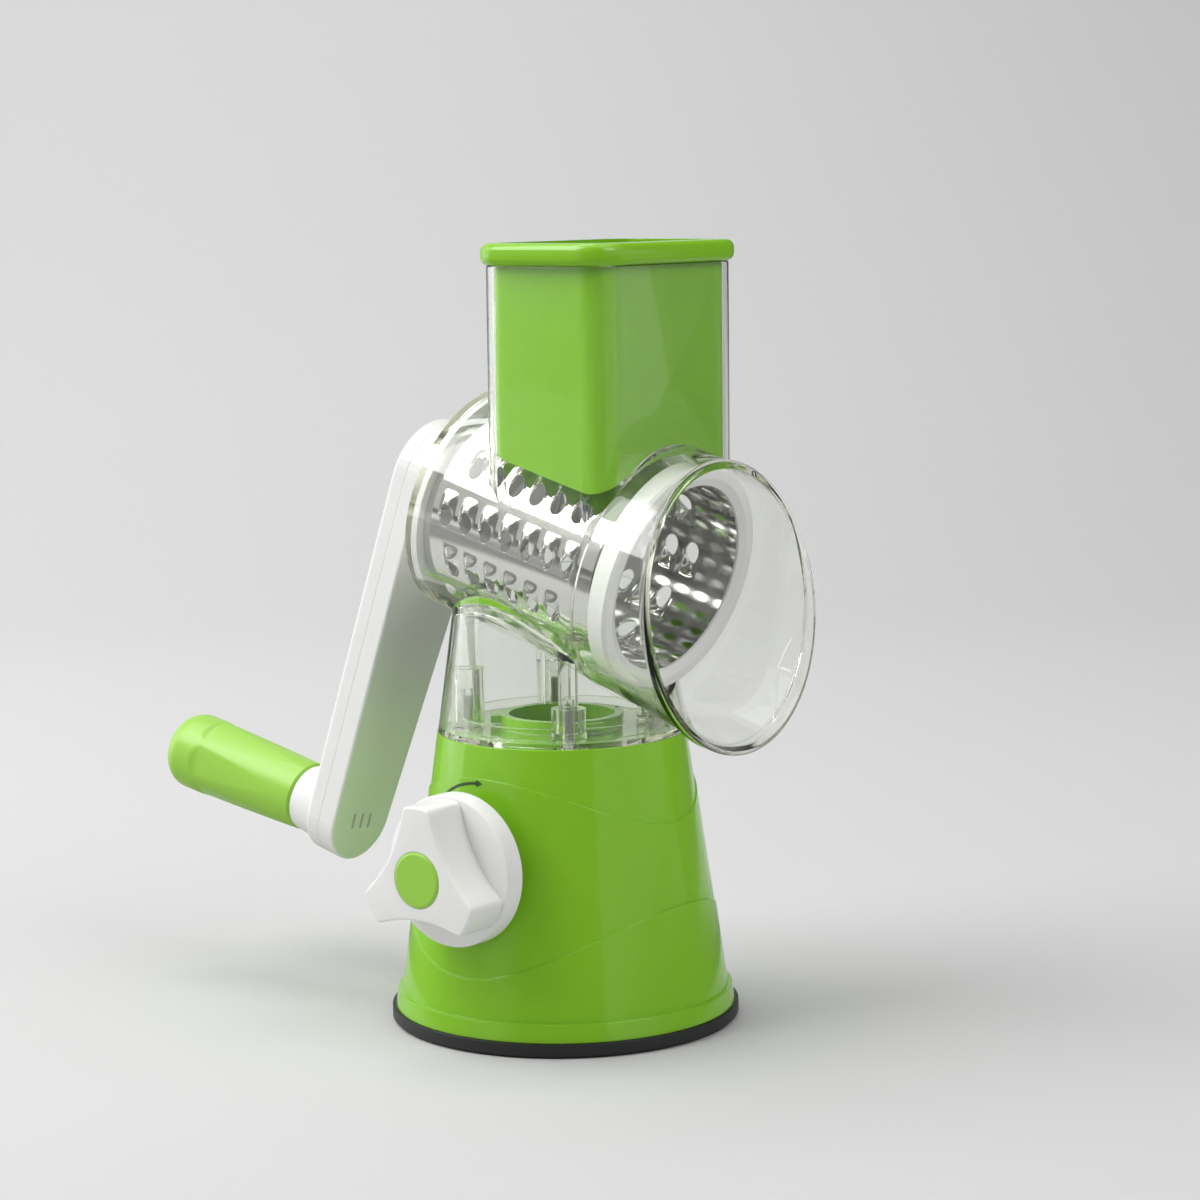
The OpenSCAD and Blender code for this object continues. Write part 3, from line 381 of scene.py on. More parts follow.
def loft(bm, stations):
    """Rings of [place along the drum, radius], bridged and capped. Past the collar they sink and turn."""
    last = None
    for s, r in stations:
        t = max((s - FLARE) / (LIP - FLARE), 0)
        at = DRUM_AXIS @ Matrix.Translation((0, -LIP_DROP * t, s)) @ Matrix.Rotation(-LIP_TURN * t, 4, "X")
        made = bmesh.ops.create_circle(bm, cap_ends=False, radius=r, segments=RING_SIDES, matrix=at)
        edges = list({e for v in made["verts"] for e in v.link_edges})
        if last is None:
            bmesh.ops.contextual_create(bm, geom=edges)
        else:
            bmesh.ops.bridge_loops(bm, edges=last + edges)
        last = edges
    bmesh.ops.contextual_create(bm, geom=last)
    bmesh.ops.recalc_face_normals(bm, faces=bm.faces)


def flare_rings(end, inner):
    """Stations of the flare up to a share of its length."""
    steps = [end * k / FLARE_STEPS for k in range(FLARE_STEPS + 1)]
    return [(FLARE + (LIP - FLARE) * t, flare_radius(t) - (WALL - BEAD_W * t if inner else 0))
            for t in steps]


def stations_at(s, r, offsets):
    """Stations at offsets, in millimetres, from the one at (s, r)."""
    return [(s + ds * MM, r + dr * MM) for ds, dr in offsets]


def corner(s, r, size, steps=4):
    """Stations round an outer corner at (s, r)."""
    turns = [k * math.pi / 2 / steps for k in range(steps + 1)]
    return [(s - size + size * math.sin(a), r - size + size * math.cos(a)) for a in turns]


def tower(bm, x, y, corner_r, low, high, middle, edge):
    """An upright box with rounded corners, and a rounded top edge if edge isn't zero."""
    place = Matrix.Translation((0, middle, (low + high) / 2)) @ Matrix.Diagonal((x, y, high - low, 1))
    made = bmesh.ops.create_cube(bm, size=1.0, matrix=place)
    upright = [e for e in {e for v in made["verts"] for e in v.link_edges}
               if abs(e.verts[0].co.z - e.verts[1].co.z) > 1e-6]
    bmesh.ops.bevel(bm, geom=upright, offset=corner_r, segments=14, profile=0.5, affect="EDGES", material=-1)
    if edge:
        rim = [e for e in bm.edges if all(abs(v.co.z - high) < 1e-7 for v in e.verts)]
        bmesh.ops.bevel(bm, geom=rim, offset=edge, segments=3, profile=0.5, affect="EDGES", material=-1)


print("outlet from", round(COLLAR_R / MM, 1), "to", round(LIP_R / MM, 1), "mm of radius")

# %% [markdown]
# The outer skin comes first. The tube's loft has a tight rounding at its rear, and at the collar the
# radius grows by as much as the wall is thick, within a millimetre and a half. The tower, four screw
# posts and the boss of the bearing are joined to it.

# %% Outer skin of the housing
CHUTE_X, CHUTE_Y, CHUTE_CORNER, CHUTE_EDGE = 81.3 * MM, 55.4 * MM, 11.4 * MM, 0.4 * MM
CHUTE_MID, CHUTE_TOP = 23.6 * MM, 269.8 * MM
CHUTE_LOW = AXIS_HIGH - CHUTE_MID * math.tan(AXIS_TILT)
POSTS = [Matrix.Translation((x * 25 * MM, y * 22.6 * MM, 0)) for x in (-1, 1) for y in (-1, 1)]
POST_R, POST_LOW, BOSS_R, BOSS_END = 3.4 * MM, 108.3 * MM, 12.6 * MM, -46.3 * MM
outer = stations_at(REAR, TUBE_R, [(0, -0.9), (0.26, -0.26), (0.9, 0)])
outer += stations_at(COLLAR, TUBE_R, [(-0.5, 0), (-0.1, 0.2), (0, 0.7)])
outer += stations_at(COLLAR, COLLAR_R, [(0.05, -0.8), (0.3, -0.24), (0.9, 0)])
outer += flare_rings(1 - BEAD_H / (LIP - FLARE), False)
outer += stations_at(LIP - BEAD_H, LIP_R, [(0.4, -0.15), (1.0, 0)])
outer += corner(LIP, LIP_R, LIP_ROUND)
bm = bmesh.new()
loft(bm, outer)
housing = mesh_object("clear_housing", bm)
bm = bmesh.new()
tower(bm, CHUTE_X, CHUTE_Y, CHUTE_CORNER, CHUTE_LOW, CHUTE_TOP, -CHUTE_MID, CHUTE_EDGE)
for post in POSTS:
    rod(bm, POST_R, POST_LOW, AXIS_HIGH, post, 32)
rod(bm, BOSS_R, BOSS_END, REAR + MM, DRUM_AXIS, 64)
combine(housing, mesh_object("tower_and_posts", bm), "UNION")
print("outer skin:", len(outer), "rings,", len(housing.data.polygons), "faces")

# %% [markdown]
# Then the housing is made hollow. The second loft keeps the wall's thickness to the first one and opens
# a little at the mouth, so that the lip has a round edge. Last come the shaft of the tower, the bore of
# the bearing and the four screw holes.

# %% Hollow and holes of the housing
JOURNAL_R, JOURNAL_TOP = 9.06 * MM, -30 * MM
SCREW_R, SCREW_TOP = 1.5 * MM, 120.3 * MM
mouth_r = flare_radius(1) - WALL + BEAD_W
inner = stations_at(REAR + REAR_WALL, TUBE_R - WALL, [(0, -0.8), (0.24, -0.24), (0.8, 0)])
inner += stations_at(COLLAR + WALL, TUBE_R - WALL, [(-0.6, 0), (0, 0.8)])
inner += stations_at(COLLAR + WALL, COLLAR_R - WALL, [(0.4, 0)])
inner += flare_rings(1, True)[:-1]
inner += stations_at(LIP, mouth_r, [(-0.6, 0), (0.3, 0.7), (2, 2.5)])
bm = bmesh.new()
loft(bm, inner)
combine(housing, mesh_object("hollow", bm), "DIFFERENCE")
bm = bmesh.new()
tower(bm, CHUTE_X - 2 * WALL, CHUTE_Y - 2 * WALL, CHUTE_CORNER - WALL, CHUTE_LOW, CHUTE_TOP + 9 * MM,
      -CHUTE_MID, 0)
rod(bm, JOURNAL_R, BOSS_END - MM, JOURNAL_TOP, DRUM_AXIS, 64)
for post in POSTS:
    rod(bm, SCREW_R, POST_LOW - MM, SCREW_TOP, post, 24)
combine(housing, mesh_object("holes", bm), "DIFFERENCE")
finish_piece(housing, "drum_housing", "clear_plastic", clear_plastic, "housing", crease=32)

# %% [markdown]
# ## The clear skirt
# The skirt under the housing is a thin cone on a flat floor. The floor hovers a hair above the deck,
# because two surfaces at the same height would flicker. One turned profile makes the floor and its
# ring, and the hollow leaves a thicker bead where the cone meets the tube.

# %% Clear skirt
DECK, SKIRT_TOP = 104.1 * MM, AXIS_HIGH
SKIRT_R, SKIRT_TAPER, SKIRT_WALL, ARCH_BEAD, ARCH_H = 44.3 * MM, 0.14, 1.9 * MM, 1.3 * MM, 2.4 * MM
FLOOR_GAP, FLOOR_TOP, LOCK_RING_R = 0.2 * MM, 1.8 * MM, 22.3 * MM
PLATE_RING_R, PLATE_RING_WIDE, PLATE_RING_TOP = 36.9 * MM, 1.6 * MM, 6 * MM
SLEEVE_R, SLEEVE_FRONT, SLEEVE_BACK, POST_FOOT = 6 * MM, 13 * MM, 23.5 * MM, 4.2 * MM
POST_WAY_R, SCREW_WAY_R, HEAD_WAY_R, HEAD_WAY_H = 3.5 * MM, 1.6 * MM, 2.9 * MM, 1.7 * MM
FREE = 0.1 * MM
skirt_place = Matrix.Translation((0, 0, DECK))


def cone(bm, inset, low, high):
    """The skirt's cone from low to high above the deck, inset from its outer side."""
    low_r, high_r = (SKIRT_R - inset - SKIRT_TAPER * h for h in (low, high))
    bmesh.ops.create_cone(bm, cap_ends=True, segments=RING_SIDES, depth=high - low, radius1=low_r,
                          radius2=high_r, matrix=skirt_place @ Matrix.Translation((0, 0, (low + high) / 2)))


bm = bmesh.new()
cone(bm, 0, FLOOR_GAP, SKIRT_TOP - DECK)
skirt = mesh_object("clear_skirt", bm)
bm = bmesh.new()
cone(bm, SKIRT_WALL, -MM, SKIRT_TOP - DECK + MM)
hollow = mesh_object("skirt_hollow", bm)
bm = bmesh.new()
rod(bm, TUBE_R + ARCH_H, REAR - MM, COLLAR, DRUM_AXIS, 96)
combine(hollow, mesh_object("arch_zone", bm), "DIFFERENCE")
combine(skirt, hollow, "DIFFERENCE")
bm = bmesh.new()
cone(bm, SKIRT_WALL + ARCH_BEAD, -MM, SKIRT_TOP - DECK + MM)
combine(skirt, mesh_object("arch_hollow", bm), "DIFFERENCE")
bm = bmesh.new()
floor_r = SKIRT_R - SKIRT_WALL / 2
ring_in = PLATE_RING_R - PLATE_RING_WIDE
turned(bm, [(LOCK_RING_R, FLOOR_GAP), (floor_r, FLOOR_GAP), (floor_r, FLOOR_TOP), (PLATE_RING_R, FLOOR_TOP),
            (PLATE_RING_R, PLATE_RING_TOP), (ring_in, PLATE_RING_TOP), (ring_in, FLOOR_TOP),
            (LOCK_RING_R, FLOOR_TOP), (LOCK_RING_R, FLOOR_GAP)], skirt_place)
combine(skirt, mesh_object("skirt_floor", bm), "UNION")
bm = bmesh.new()
for post in POSTS:
    high = SLEEVE_FRONT if post.translation.y < 0 else SLEEVE_BACK
    rod(bm, SLEEVE_R, FLOOR_GAP + FREE, high, skirt_place @ post, 40)
combine(skirt, mesh_object("sleeves", bm), "UNION")
print("skirt with its floor and sleeves:", len(skirt.data.polygons), "faces")

# %% [markdown]
# The skirt then makes way for what stands in it: the tube and the flare lie on it with a tenth of a
# millimetre to spare, and each sleeve gets a bore for its post and one for its screw.

# %% Ways through the skirt
bm = bmesh.new()
rod(bm, TUBE_R + FREE, REAR - 60 * MM, COLLAR + 50 * MM, DRUM_AXIS, RING_SIDES)
combine(skirt, mesh_object("tube_way", bm), "DIFFERENCE")
bm = bmesh.new()
place = DRUM_AXIS @ Matrix.Translation((0, 0, (COLLAR + LIP) / 2))
bmesh.ops.create_cone(bm, cap_ends=True, segments=RING_SIDES, depth=LIP - COLLAR + 2 * FREE,
                      radius1=COLLAR_R + FREE, radius2=(COLLAR_R + LIP_R) / 2 + FREE, matrix=place)
combine(skirt, mesh_object("flare_way", bm), "DIFFERENCE")
bm = bmesh.new()
for post in POSTS:
    turned(bm, [(0, -MM), (HEAD_WAY_R, -MM), (HEAD_WAY_R, HEAD_WAY_H), (SCREW_WAY_R, HEAD_WAY_H),
                (SCREW_WAY_R, POST_FOOT), (POST_WAY_R, POST_FOOT), (POST_WAY_R, SKIRT_TOP - DECK),
                (0, SKIRT_TOP - DECK)], skirt_place @ post, 32)
combine(skirt, mesh_object("post_ways", bm), "DIFFERENCE")
finish_piece(skirt, "drum_housing", "clear_plastic", clear_plastic, "skirt", crease=32)

# %% [markdown]
# ## The drum
# The drum is the heart of the tool: a thin steel sheet, punched and raised into twelve rows of cutting
# lips. Each hole gets its own tile of sheet, a net of rings that runs from the oval hole to the edge of
# the tile. A height function lifts the sheet to a lip at the hole's leading end, and the tiles are
# rolled round the drum's axis and welded. Solidify then gives the sheet its 0.8 mm.

# %% Drum of punched sheet
DRUM_R, SHEET = 35.8 * MM, 0.8 * MM
DRUM_BACK, DRUM_FRONT = -30.9 * MM, 53.1 * MM
HOLE_MID, HOLE_PITCH = 6.2 * MM, 9.4 * MM
HOLE_ROWS, ROW_HOLES, ROW_LEAD = 12, 7, math.radians(1.5)
HOLE_HALF_L, HOLE_HALF_W = 3.9 * MM, 2.9 * MM
LIP_H, LIP_REACH, LIP_HALF = 1.7 * MM, 4.4 * MM, 3.7 * MM
LIP_BLUNT, LIP_STEEP = 2.4, 1.3
ACROSS, ROUND, RINGS, RING_SPREAD = 12, 16, 7, 1.4
ROW_TURN = 2 * math.pi / HOLE_ROWS
TILE_HALF = DRUM_R * ROW_TURN / 2


def lip_height(p, q):
    """How far the sheet is raised near a hole, p towards its lip and q along the drum."""
    ahead = max(1 - ((p - HOLE_HALF_L) / LIP_REACH) ** 2, 0)
    across = max(1 - abs(q / LIP_HALF) ** LIP_BLUNT, 0)
    return LIP_H * (ahead * across) ** LIP_STEEP


def on_drum(angle, r, s):
    """A point at that angle and radius round the drum's axis, and that far along it."""
    return DRUM_AXIS @ Vector((r * math.cos(angle), r * math.sin(angle), s))


def rolled(p, q, turn, s):
    """A point of the sheet near the hole at that turn and place, on the rolled drum."""
    return on_drum(turn - p / DRUM_R, DRUM_R + lip_height(p, q), s + q)


def tile_edge():
    """Points round a tile, in steps that match its neighbours."""
    a, b = TILE_HALF, HOLE_PITCH / 2
    right = [(-a + 2 * a * k / ROUND, b) for k in range(ROUND)]
    lead = [(a, b - 2 * b * k / ACROSS) for k in range(ACROSS)]
    return right + lead + [(-p, -q) for p, q in right + lead]


def weave(bm, rows, closed):
    """Faces between rows of vertices."""
    for low, high in zip(rows, rows[1:]):
        count = len(low)
        for k in range(count if closed else count - 1):
            bm.faces.new((low[k], low[(k + 1) % count], high[(k + 1) % count], high[k]))


print("a tile is", round(2 * TILE_HALF / MM, 2), "by", round(HOLE_PITCH / MM, 2), "mm")

# %% [markdown]
# The rows have seven and six holes in turn, so a row of six is half a tile shorter at both ends. Plain
# strips fill the sheet from the last tile to the drum's edge. Their points meet those of the tiles next
# to them, and so everything can be welded.

# %% Roll the tiles into a drum
bm = bmesh.new()
EDGE = tile_edge()
START = [math.atan2(q / (HOLE_PITCH / 2), p / TILE_HALF) for p, q in EDGE]
HOLE = [(HOLE_HALF_L * math.cos(a), HOLE_HALF_W * math.sin(a)) for a in START]
for row in range(HOLE_ROWS):
    turn, count = row * ROW_TURN - ROW_LEAD, ROW_HOLES - row % 2
    low_s, high_s = HOLE_MID - count * HOLE_PITCH / 2, HOLE_MID + count * HOLE_PITCH / 2
    for k in range(count):
        s = low_s + (k + 0.5) * HOLE_PITCH
        rows = []
        for ring in range(RINGS + 1):
            t = (ring / RINGS) ** RING_SPREAD
            rows.append([bm.verts.new(rolled(hp + (ep - hp) * t, hq + (eq - hq) * t, turn, s))
                         for (hp, hq), (ep, eq) in zip(HOLE, EDGE)])
        weave(bm, rows, True)
    strip_steps = (row % 2) * ACROSS // 2
    step = HOLE_PITCH / ACROSS
    turns = [turn + ROW_TURN * (k / ROUND - 0.5) for k in range(ROUND + 1)]
    for end, way, limit in ((low_s, -1, DRUM_BACK), (high_s, 1, DRUM_FRONT)):
        places = [end + way * step * j for j in range(strip_steps + 1)] + [limit]
        weave(bm, [[bm.verts.new(on_drum(a, DRUM_R, at)) for a in turns] for at in places], False)
bmesh.ops.remove_doubles(bm, verts=bm.verts, dist=2e-6)
bmesh.ops.recalc_face_normals(bm, faces=bm.faces)
bmesh.ops.solidify(bm, geom=bm.faces[:], thickness=SHEET)
drum = mesh_object("punched_drum", bm)
reach = [(DRUM_AXIS.inverted() @ v.co).xy.length / MM for v in drum.data.vertices]
print("drum radii:", round(min(reach), 2), round(max(reach), 2))
finish_piece(drum, "drum", "drum_steel", drum_steel, "drum_shell", crease=40)

# %% [markdown]
# ## The suction knob
# The knob is a round flange with three lobes for the fingers. The side of the lobes is a circle whose
# radius follows the lobes and the hollows between them, and a soft minimum of the two rounds the
# corners as the mould does. The face's edge gets a bevel, and the cap sits in a pocket.

# %% Suction knob
KNOB_BACK, KNOB_Z = -56.5 * MM, 63.7 * MM
KNOB_AXIS = Matrix.Translation((KNOB_BACK, 0, KNOB_Z)) @ Matrix.Rotation(math.radians(-90), 4, "Y")
KNOB_R, FLANGE_H, GRIP_H = 26.6 * MM, 8 * MM, 16.5 * MM
LOBE_R, WAIST_R, HOLLOW_R = 25.3 * MM, 14.2 * MM, 49.8 * MM
LOBE_CORNER, NICK = 1.1 * MM, 0.3 * MM
POCKET_IN, POCKET_OUT, POCKET_DEEP = 7.4 * MM, 24.2 * MM, 5.6 * MM
SHAFT_R, SHAFT_SPARE, HEAD_R, HEAD_LOW = 5.1 * MM, 0.1 * MM, 3.9 * MM, 3 * MM
SCREW_BORE_R, CAP_R, CAP_DEEP = 1.9 * MM, 9.9 * MM, 2.1 * MM
FACE = FLANGE_H + GRIP_H


def lobe_side(angle):
    """Distance from the knob's axis to the side of the lobes."""
    off = math.radians(math.degrees(angle) % 120 - 60)
    far = WAIST_R + HOLLOW_R
    reach = HOLLOW_R ** 2 - (far * math.sin(off)) ** 2
    hollow = far * math.cos(off) - math.sqrt(reach) if reach > 0 else 2 * LOBE_R
    return -LOBE_CORNER * math.log(math.exp(-LOBE_R / LOBE_CORNER) + math.exp(-hollow / LOBE_CORNER))


bm = bmesh.new()
turned(bm, [(0, 0), (KNOB_R - NICK, 0), (KNOB_R, NICK), (KNOB_R, FLANGE_H - MM),
            (KNOB_R - NICK, FLANGE_H - NICK), (KNOB_R - MM, FLANGE_H), (0, FLANGE_H)], KNOB_AXIS)
knob = mesh_object("suction_knob_body", bm)
bm = bmesh.new()
sunk = Matrix.Translation((0, 0, FLANGE_H - MM))
outline = bmesh.ops.create_circle(bm, cap_ends=True, radius=1.0, segments=240, matrix=sunk)["verts"]
for v in outline:
    v.co.xy = v.co.xy.normalized() * lobe_side(math.atan2(v.co.y, v.co.x))
grown = bmesh.ops.extrude_face_region(bm, geom=bm.faces[:])["geom"]
top = [g for g in grown if isinstance(g, bmesh.types.BMVert)]
bmesh.ops.translate(bm, verts=top, vec=UP * (GRIP_H + MM))
bmesh.ops.recalc_face_normals(bm, faces=bm.faces)
rim = [e for e in bm.edges if all(v in top for v in e.verts)]
bmesh.ops.bevel(bm, geom=rim, offset=MM, segments=5, profile=0.5, affect="EDGES", material=-1)
bmesh.ops.transform(bm, matrix=KNOB_AXIS, verts=bm.verts)
combine(knob, mesh_object("lobes", bm), "UNION")
bm = bmesh.new()
turned(bm, [(POCKET_IN, -MM), (POCKET_OUT, -MM), (POCKET_OUT, POCKET_DEEP), (POCKET_IN, POCKET_DEEP),
            (POCKET_IN, -MM)], KNOB_AXIS)
combine(knob, mesh_object("back_pocket", bm), "DIFFERENCE")
bm = bmesh.new()
shaft_end, head_end, cap_floor = FLANGE_H + SHAFT_SPARE, FLANGE_H + HEAD_LOW, FACE - CAP_DEEP
turned(bm, [(0, -MM), (SHAFT_R, -MM), (SHAFT_R, shaft_end), (SCREW_BORE_R, shaft_end),
            (SCREW_BORE_R, head_end), (HEAD_R, head_end), (HEAD_R, cap_floor), (CAP_R, cap_floor),
            (CAP_R, FACE + MM), (0, FACE + MM)], KNOB_AXIS)
combine(knob, mesh_object("shaft_bore", bm), "DIFFERENCE")
finish_piece(knob, "lock", "white_plastic", white_plastic, "suction_knob")

# %% [markdown]
# ## The pusher
# The pusher is a deep green cup with a round-edged rim, and its underside follows the drum. A tall box
# and a flat one are joined, a wide cylinder along the drum cuts the underside, and the same cylinder,
# one floor thicker, is taken out of the block that hollows the cup.

# %% Pusher
PUSHER_GAP, PUSHER_WALL, PUSHER_FLOOR = 0.6 * MM, 2 * MM, 2.2 * MM
PUSHER_X = CHUTE_X - 2 * (WALL + PUSHER_GAP)
PUSHER_Y = CHUTE_Y - 2 * (WALL + PUSHER_GAP)
PUSHER_CORNER = CHUTE_CORNER - WALL - PUSHER_GAP
RIM_H, RIM_OVER, RIM_ROUND = 7.7 * MM, 2 * MM, 3 * MM
UNDERSIDE_R, UNDERSIDE_TOP, UNDERSIDE_LONG = 67 * MM, DRUM_R + 4 * MM, 120 * MM
underside = DRUM_AXIS @ Matrix.Translation((0, UNDERSIDE_TOP - UNDERSIDE_R, 0))
bm = bmesh.new()
tower(bm, PUSHER_X, PUSHER_Y, PUSHER_CORNER, AXIS_HIGH, CHUTE_TOP + MM, -CHUTE_MID, 0)
pusher = mesh_object("green_pusher", bm)
bm = bmesh.new()
tower(bm, CHUTE_X + 2 * RIM_OVER, CHUTE_Y + 2 * RIM_OVER, CHUTE_CORNER + RIM_OVER, CHUTE_TOP,
      CHUTE_TOP + RIM_H, -CHUTE_MID, 0)
level = [e for e in bm.edges if abs(e.verts[0].co.z - e.verts[1].co.z) < 1e-7]
bmesh.ops.bevel(bm, geom=level, offset=RIM_ROUND, segments=6, profile=0.5, affect="EDGES", material=-1)
combine(pusher, mesh_object("pusher_rim", bm), "UNION")
bm = bmesh.new()
rod(bm, UNDERSIDE_R, -UNDERSIDE_LONG, UNDERSIDE_LONG, underside, 240)
combine(pusher, mesh_object("pusher_underside", bm), "DIFFERENCE")
bm = bmesh.new()
tower(bm, PUSHER_X - 2 * PUSHER_WALL, PUSHER_Y - 2 * PUSHER_WALL, PUSHER_CORNER - PUSHER_WALL,
      AXIS_HIGH - MM, CHUTE_TOP + RIM_H + MM, -CHUTE_MID, 0)
cup = mesh_object("pusher_hollow", bm)
bm = bmesh.new()
rod(bm, UNDERSIDE_R + PUSHER_FLOOR, -UNDERSIDE_LONG, UNDERSIDE_LONG, underside, 240)
combine(cup, mesh_object("pusher_floor", bm), "DIFFERENCE")
combine(pusher, cup, "DIFFERENCE")
finish_piece(pusher, "food_pusher", "green_plastic", green_plastic, "pusher", crease=40)

# %% [markdown]
# ## The handle grip
# The grip swells towards its free end, and six shallow flutes run along it. Each flute starts at a
# notch near the end and fades out towards the collar. The grip is one turned profile, and each of its
# points is then drawn in by the depth of the flute there.

# %% Handle grip
CRANK_BACK, CRANK_TURN, CRANK_LONG = -62.6 * MM, math.radians(-7.4), 131 * MM
GRIP_LEAN = math.radians(176)
crank_place = DRUM_AXIS @ Matrix.Translation((0, 0, CRANK_BACK)) @ Matrix.Rotation(CRANK_TURN, 4, "Z")
GRIP_AXIS = crank_place @ Matrix.Translation((0, -CRANK_LONG, 0)) @ Matrix.Rotation(GRIP_LEAN, 4, "X")
GRIP_LOW, GRIP_WIDE, GRIP_TOP = 11.8 * MM, 60.6 * MM, 77.8 * MM
NECK_R, GRIP_R, GRIP_ROUND = 12.8 * MM, 14.6 * MM, 8 * MM
PIN_BORE, BARB_BORE, BARB_LOW, BARB_TOP = 4.1 * MM, 5.2 * MM, 50.7 * MM, 59.3 * MM
FLUTES, FLUTE_DEPTH, FLUTE_HALF = 6, 0.9 * MM, math.radians(25)
FLUTE_FADE, FLUTE_NOTCH, FLUTE_END = 20 * MM, 60 * MM, 62.5 * MM
TAPER_STEPS, STRAIGHT_STEPS, DOME_STEPS = 50, 10, 12


def flute_depth(angle, z):
    """How far a flute draws the grip in at that angle and height."""
    rise = min(max((z - FLUTE_FADE) / (FLUTE_NOTCH - FLUTE_FADE), 0), 1)
    fall = min(max((FLUTE_END - z) / (FLUTE_END - FLUTE_NOTCH), 0), 1)
    off = (angle + math.pi / FLUTES) % (2 * math.pi / FLUTES) - math.pi / FLUTES
    return max(FLUTE_DEPTH * (rise * fall - (off / FLUTE_HALF) ** 2), 0)


taper_low, dome_low = GRIP_LOW + MM, GRIP_TOP - GRIP_ROUND
side = [(NECK_R + (GRIP_R - NECK_R) * t, taper_low + (GRIP_WIDE - taper_low) * t)
        for t in (k / TAPER_STEPS for k in range(TAPER_STEPS + 1))]
side += [(GRIP_R, GRIP_WIDE + (dome_low - GRIP_WIDE) * k / STRAIGHT_STEPS)
         for k in range(1, STRAIGHT_STEPS)]
dome = [(GRIP_R - GRIP_ROUND + GRIP_ROUND * math.cos(a), dome_low + GRIP_ROUND * math.sin(a))
        for a in (math.pi / 2 * k / DOME_STEPS for k in range(DOME_STEPS + 1))]
bore = [(0, BARB_TOP), (BARB_BORE, BARB_TOP), (BARB_BORE, BARB_LOW), (PIN_BORE, BARB_LOW),
        (PIN_BORE, GRIP_LOW)]
bm = bmesh.new()
turned(bm, bore + [(NECK_R - MM, GRIP_LOW)] + side + dome + [(0, GRIP_TOP)], Matrix(), RING_SIDES)
for v in bm.verts:
    r = v.co.xy.length
    if r > NECK_R - 0.1 * MM:
        v.co.xy *= 1 - flute_depth(math.atan2(v.co.y, v.co.x), v.co.z) / r
bmesh.ops.transform(bm, matrix=GRIP_AXIS, verts=bm.verts)
grip = mesh_object("fluted_grip", bm)
# The grip wears the paler green, whose lightness is a painted sheen.
finish_piece(grip, "grip", "green_plastic", satin_green_painted_sheen, "handle_grip", crease=40)

# %% [markdown]
# ## The turning arrow
# A thin dark arrow is printed on the base above the knob. It follows a circle round the knob's axis and
# lies on the cone, so each of its points takes its depth from the cone's radius at that height.

# %% Printed arrow
ARROW_R, ARROW_HALF, INK = 27.9 * MM, 0.45 * MM, 0.06 * MM
ARROW_START, ARROW_SWEEP, ARROW_THIN, ARROW_GROW = 38, 50, 0.35, 8
SHAFT_STEPS, HEAD_STEPS, HEAD_LONG, HEAD_WIDE, HEAD_STEP = 28, 4, 4.2, 2.4, 1.1
CONE_LOW_R, CONE_LOW_Z, CONE_SLOPE = 58.4 * MM, 11.4 * MM, 0.1424


def on_cone(angle, r, out):
    """A point round the knob's axis, on the base or a little off it."""
    y, z = r * math.cos(angle), KNOB_Z + r * math.sin(angle)
    around = CONE_LOW_R - CONE_SLOPE * (z - CONE_LOW_Z) + out
    return Vector((-math.sqrt(around ** 2 - y ** 2), y, z))


def arrow_half(k):
    """Half the width at a step: a line that starts thin, then the head, down to its tip."""
    if k < SHAFT_STEPS:
        return ARROW_HALF * min(ARROW_THIN + k / ARROW_GROW, 1)
    return ARROW_HALF * HEAD_WIDE * (SHAFT_STEPS + HEAD_LONG - k) / HEAD_LONG


bm = bmesh.new()
rows = []
for k in range(SHAFT_STEPS + HEAD_STEPS + 1):
    swept = ARROW_SWEEP * min(k / SHAFT_STEPS, 1) + HEAD_STEP * max(k - SHAFT_STEPS, 0)
    angle, half = math.radians(ARROW_START + swept), arrow_half(k)
    ring = [on_cone(angle, ARROW_R + way * half, out)
            for way, out in ((-1, -INK), (1, -INK), (1, INK), (-1, INK))]
    rows.append([bm.verts.new(point) for point in ring])
weave(bm, rows, True)
bm.faces.new(rows[0])
bm.faces.new(rows[-1])
bmesh.ops.recalc_face_normals(bm, faces=bm.faces)
finish_piece(mesh_object("turning_arrow", bm), "base", "green_plastic", arrow_ink)

# %% [markdown]
# ## The studio
# The photograph has a pale grey sheet that curves up behind the object. Places in the studio are given
# with the camera's own right and forward directions, so `studio(right, near, up)` reads as a
# photographer would say it.

# %% Floor and backdrop
side_way = Vector((cam_right.x, cam_right.y, 0)).normalized()
near_way = -Vector((cam_forward.x, cam_forward.y, 0)).normalized()


def studio(right, near, up):
    """A point that far right of the object, that far towards the camera, and that high."""
    return side_way * right + near_way * near + UP * up


SWEEP_WIDE = 6.0
SWEEP_FRONT = 3.0
SWEEP_BACK = 2.2
SWEEP_HIGH = 3.2
SWEEP_BEND = 1.2
bm = bmesh.new()
corners = [bm.verts.new(studio(x, SWEEP_FRONT, 0)) for x in (-SWEEP_WIDE, SWEEP_WIDE)]
edge = bm.edges.new(corners)
for step in (studio(0, -SWEEP_FRONT - SWEEP_BACK, 0), studio(0, 0, SWEEP_HIGH)):
    grown = bmesh.ops.extrude_edge_only(bm, edges=[edge])["geom"]
    moved = [g for g in grown if isinstance(g, bmesh.types.BMVert)]
    bmesh.ops.translate(bm, verts=moved, vec=step)
    edge = next(g for g in grown if isinstance(g, bmesh.types.BMEdge) and all(v in moved for v in g.verts))
fold = [e for e in bm.edges if len(e.link_faces) == 2]
bmesh.ops.bevel(bm, geom=fold, offset=SWEEP_BEND, segments=24, profile=0.5, affect="EDGES", material=-1)
bmesh.ops.recalc_face_normals(bm, faces=bm.faces)
sweep = mesh_object("studio_sweep", bm)
for face in sweep.data.polygons:
    face.use_smooth = True
print("backdrop:", len(sweep.data.polygons), "faces")

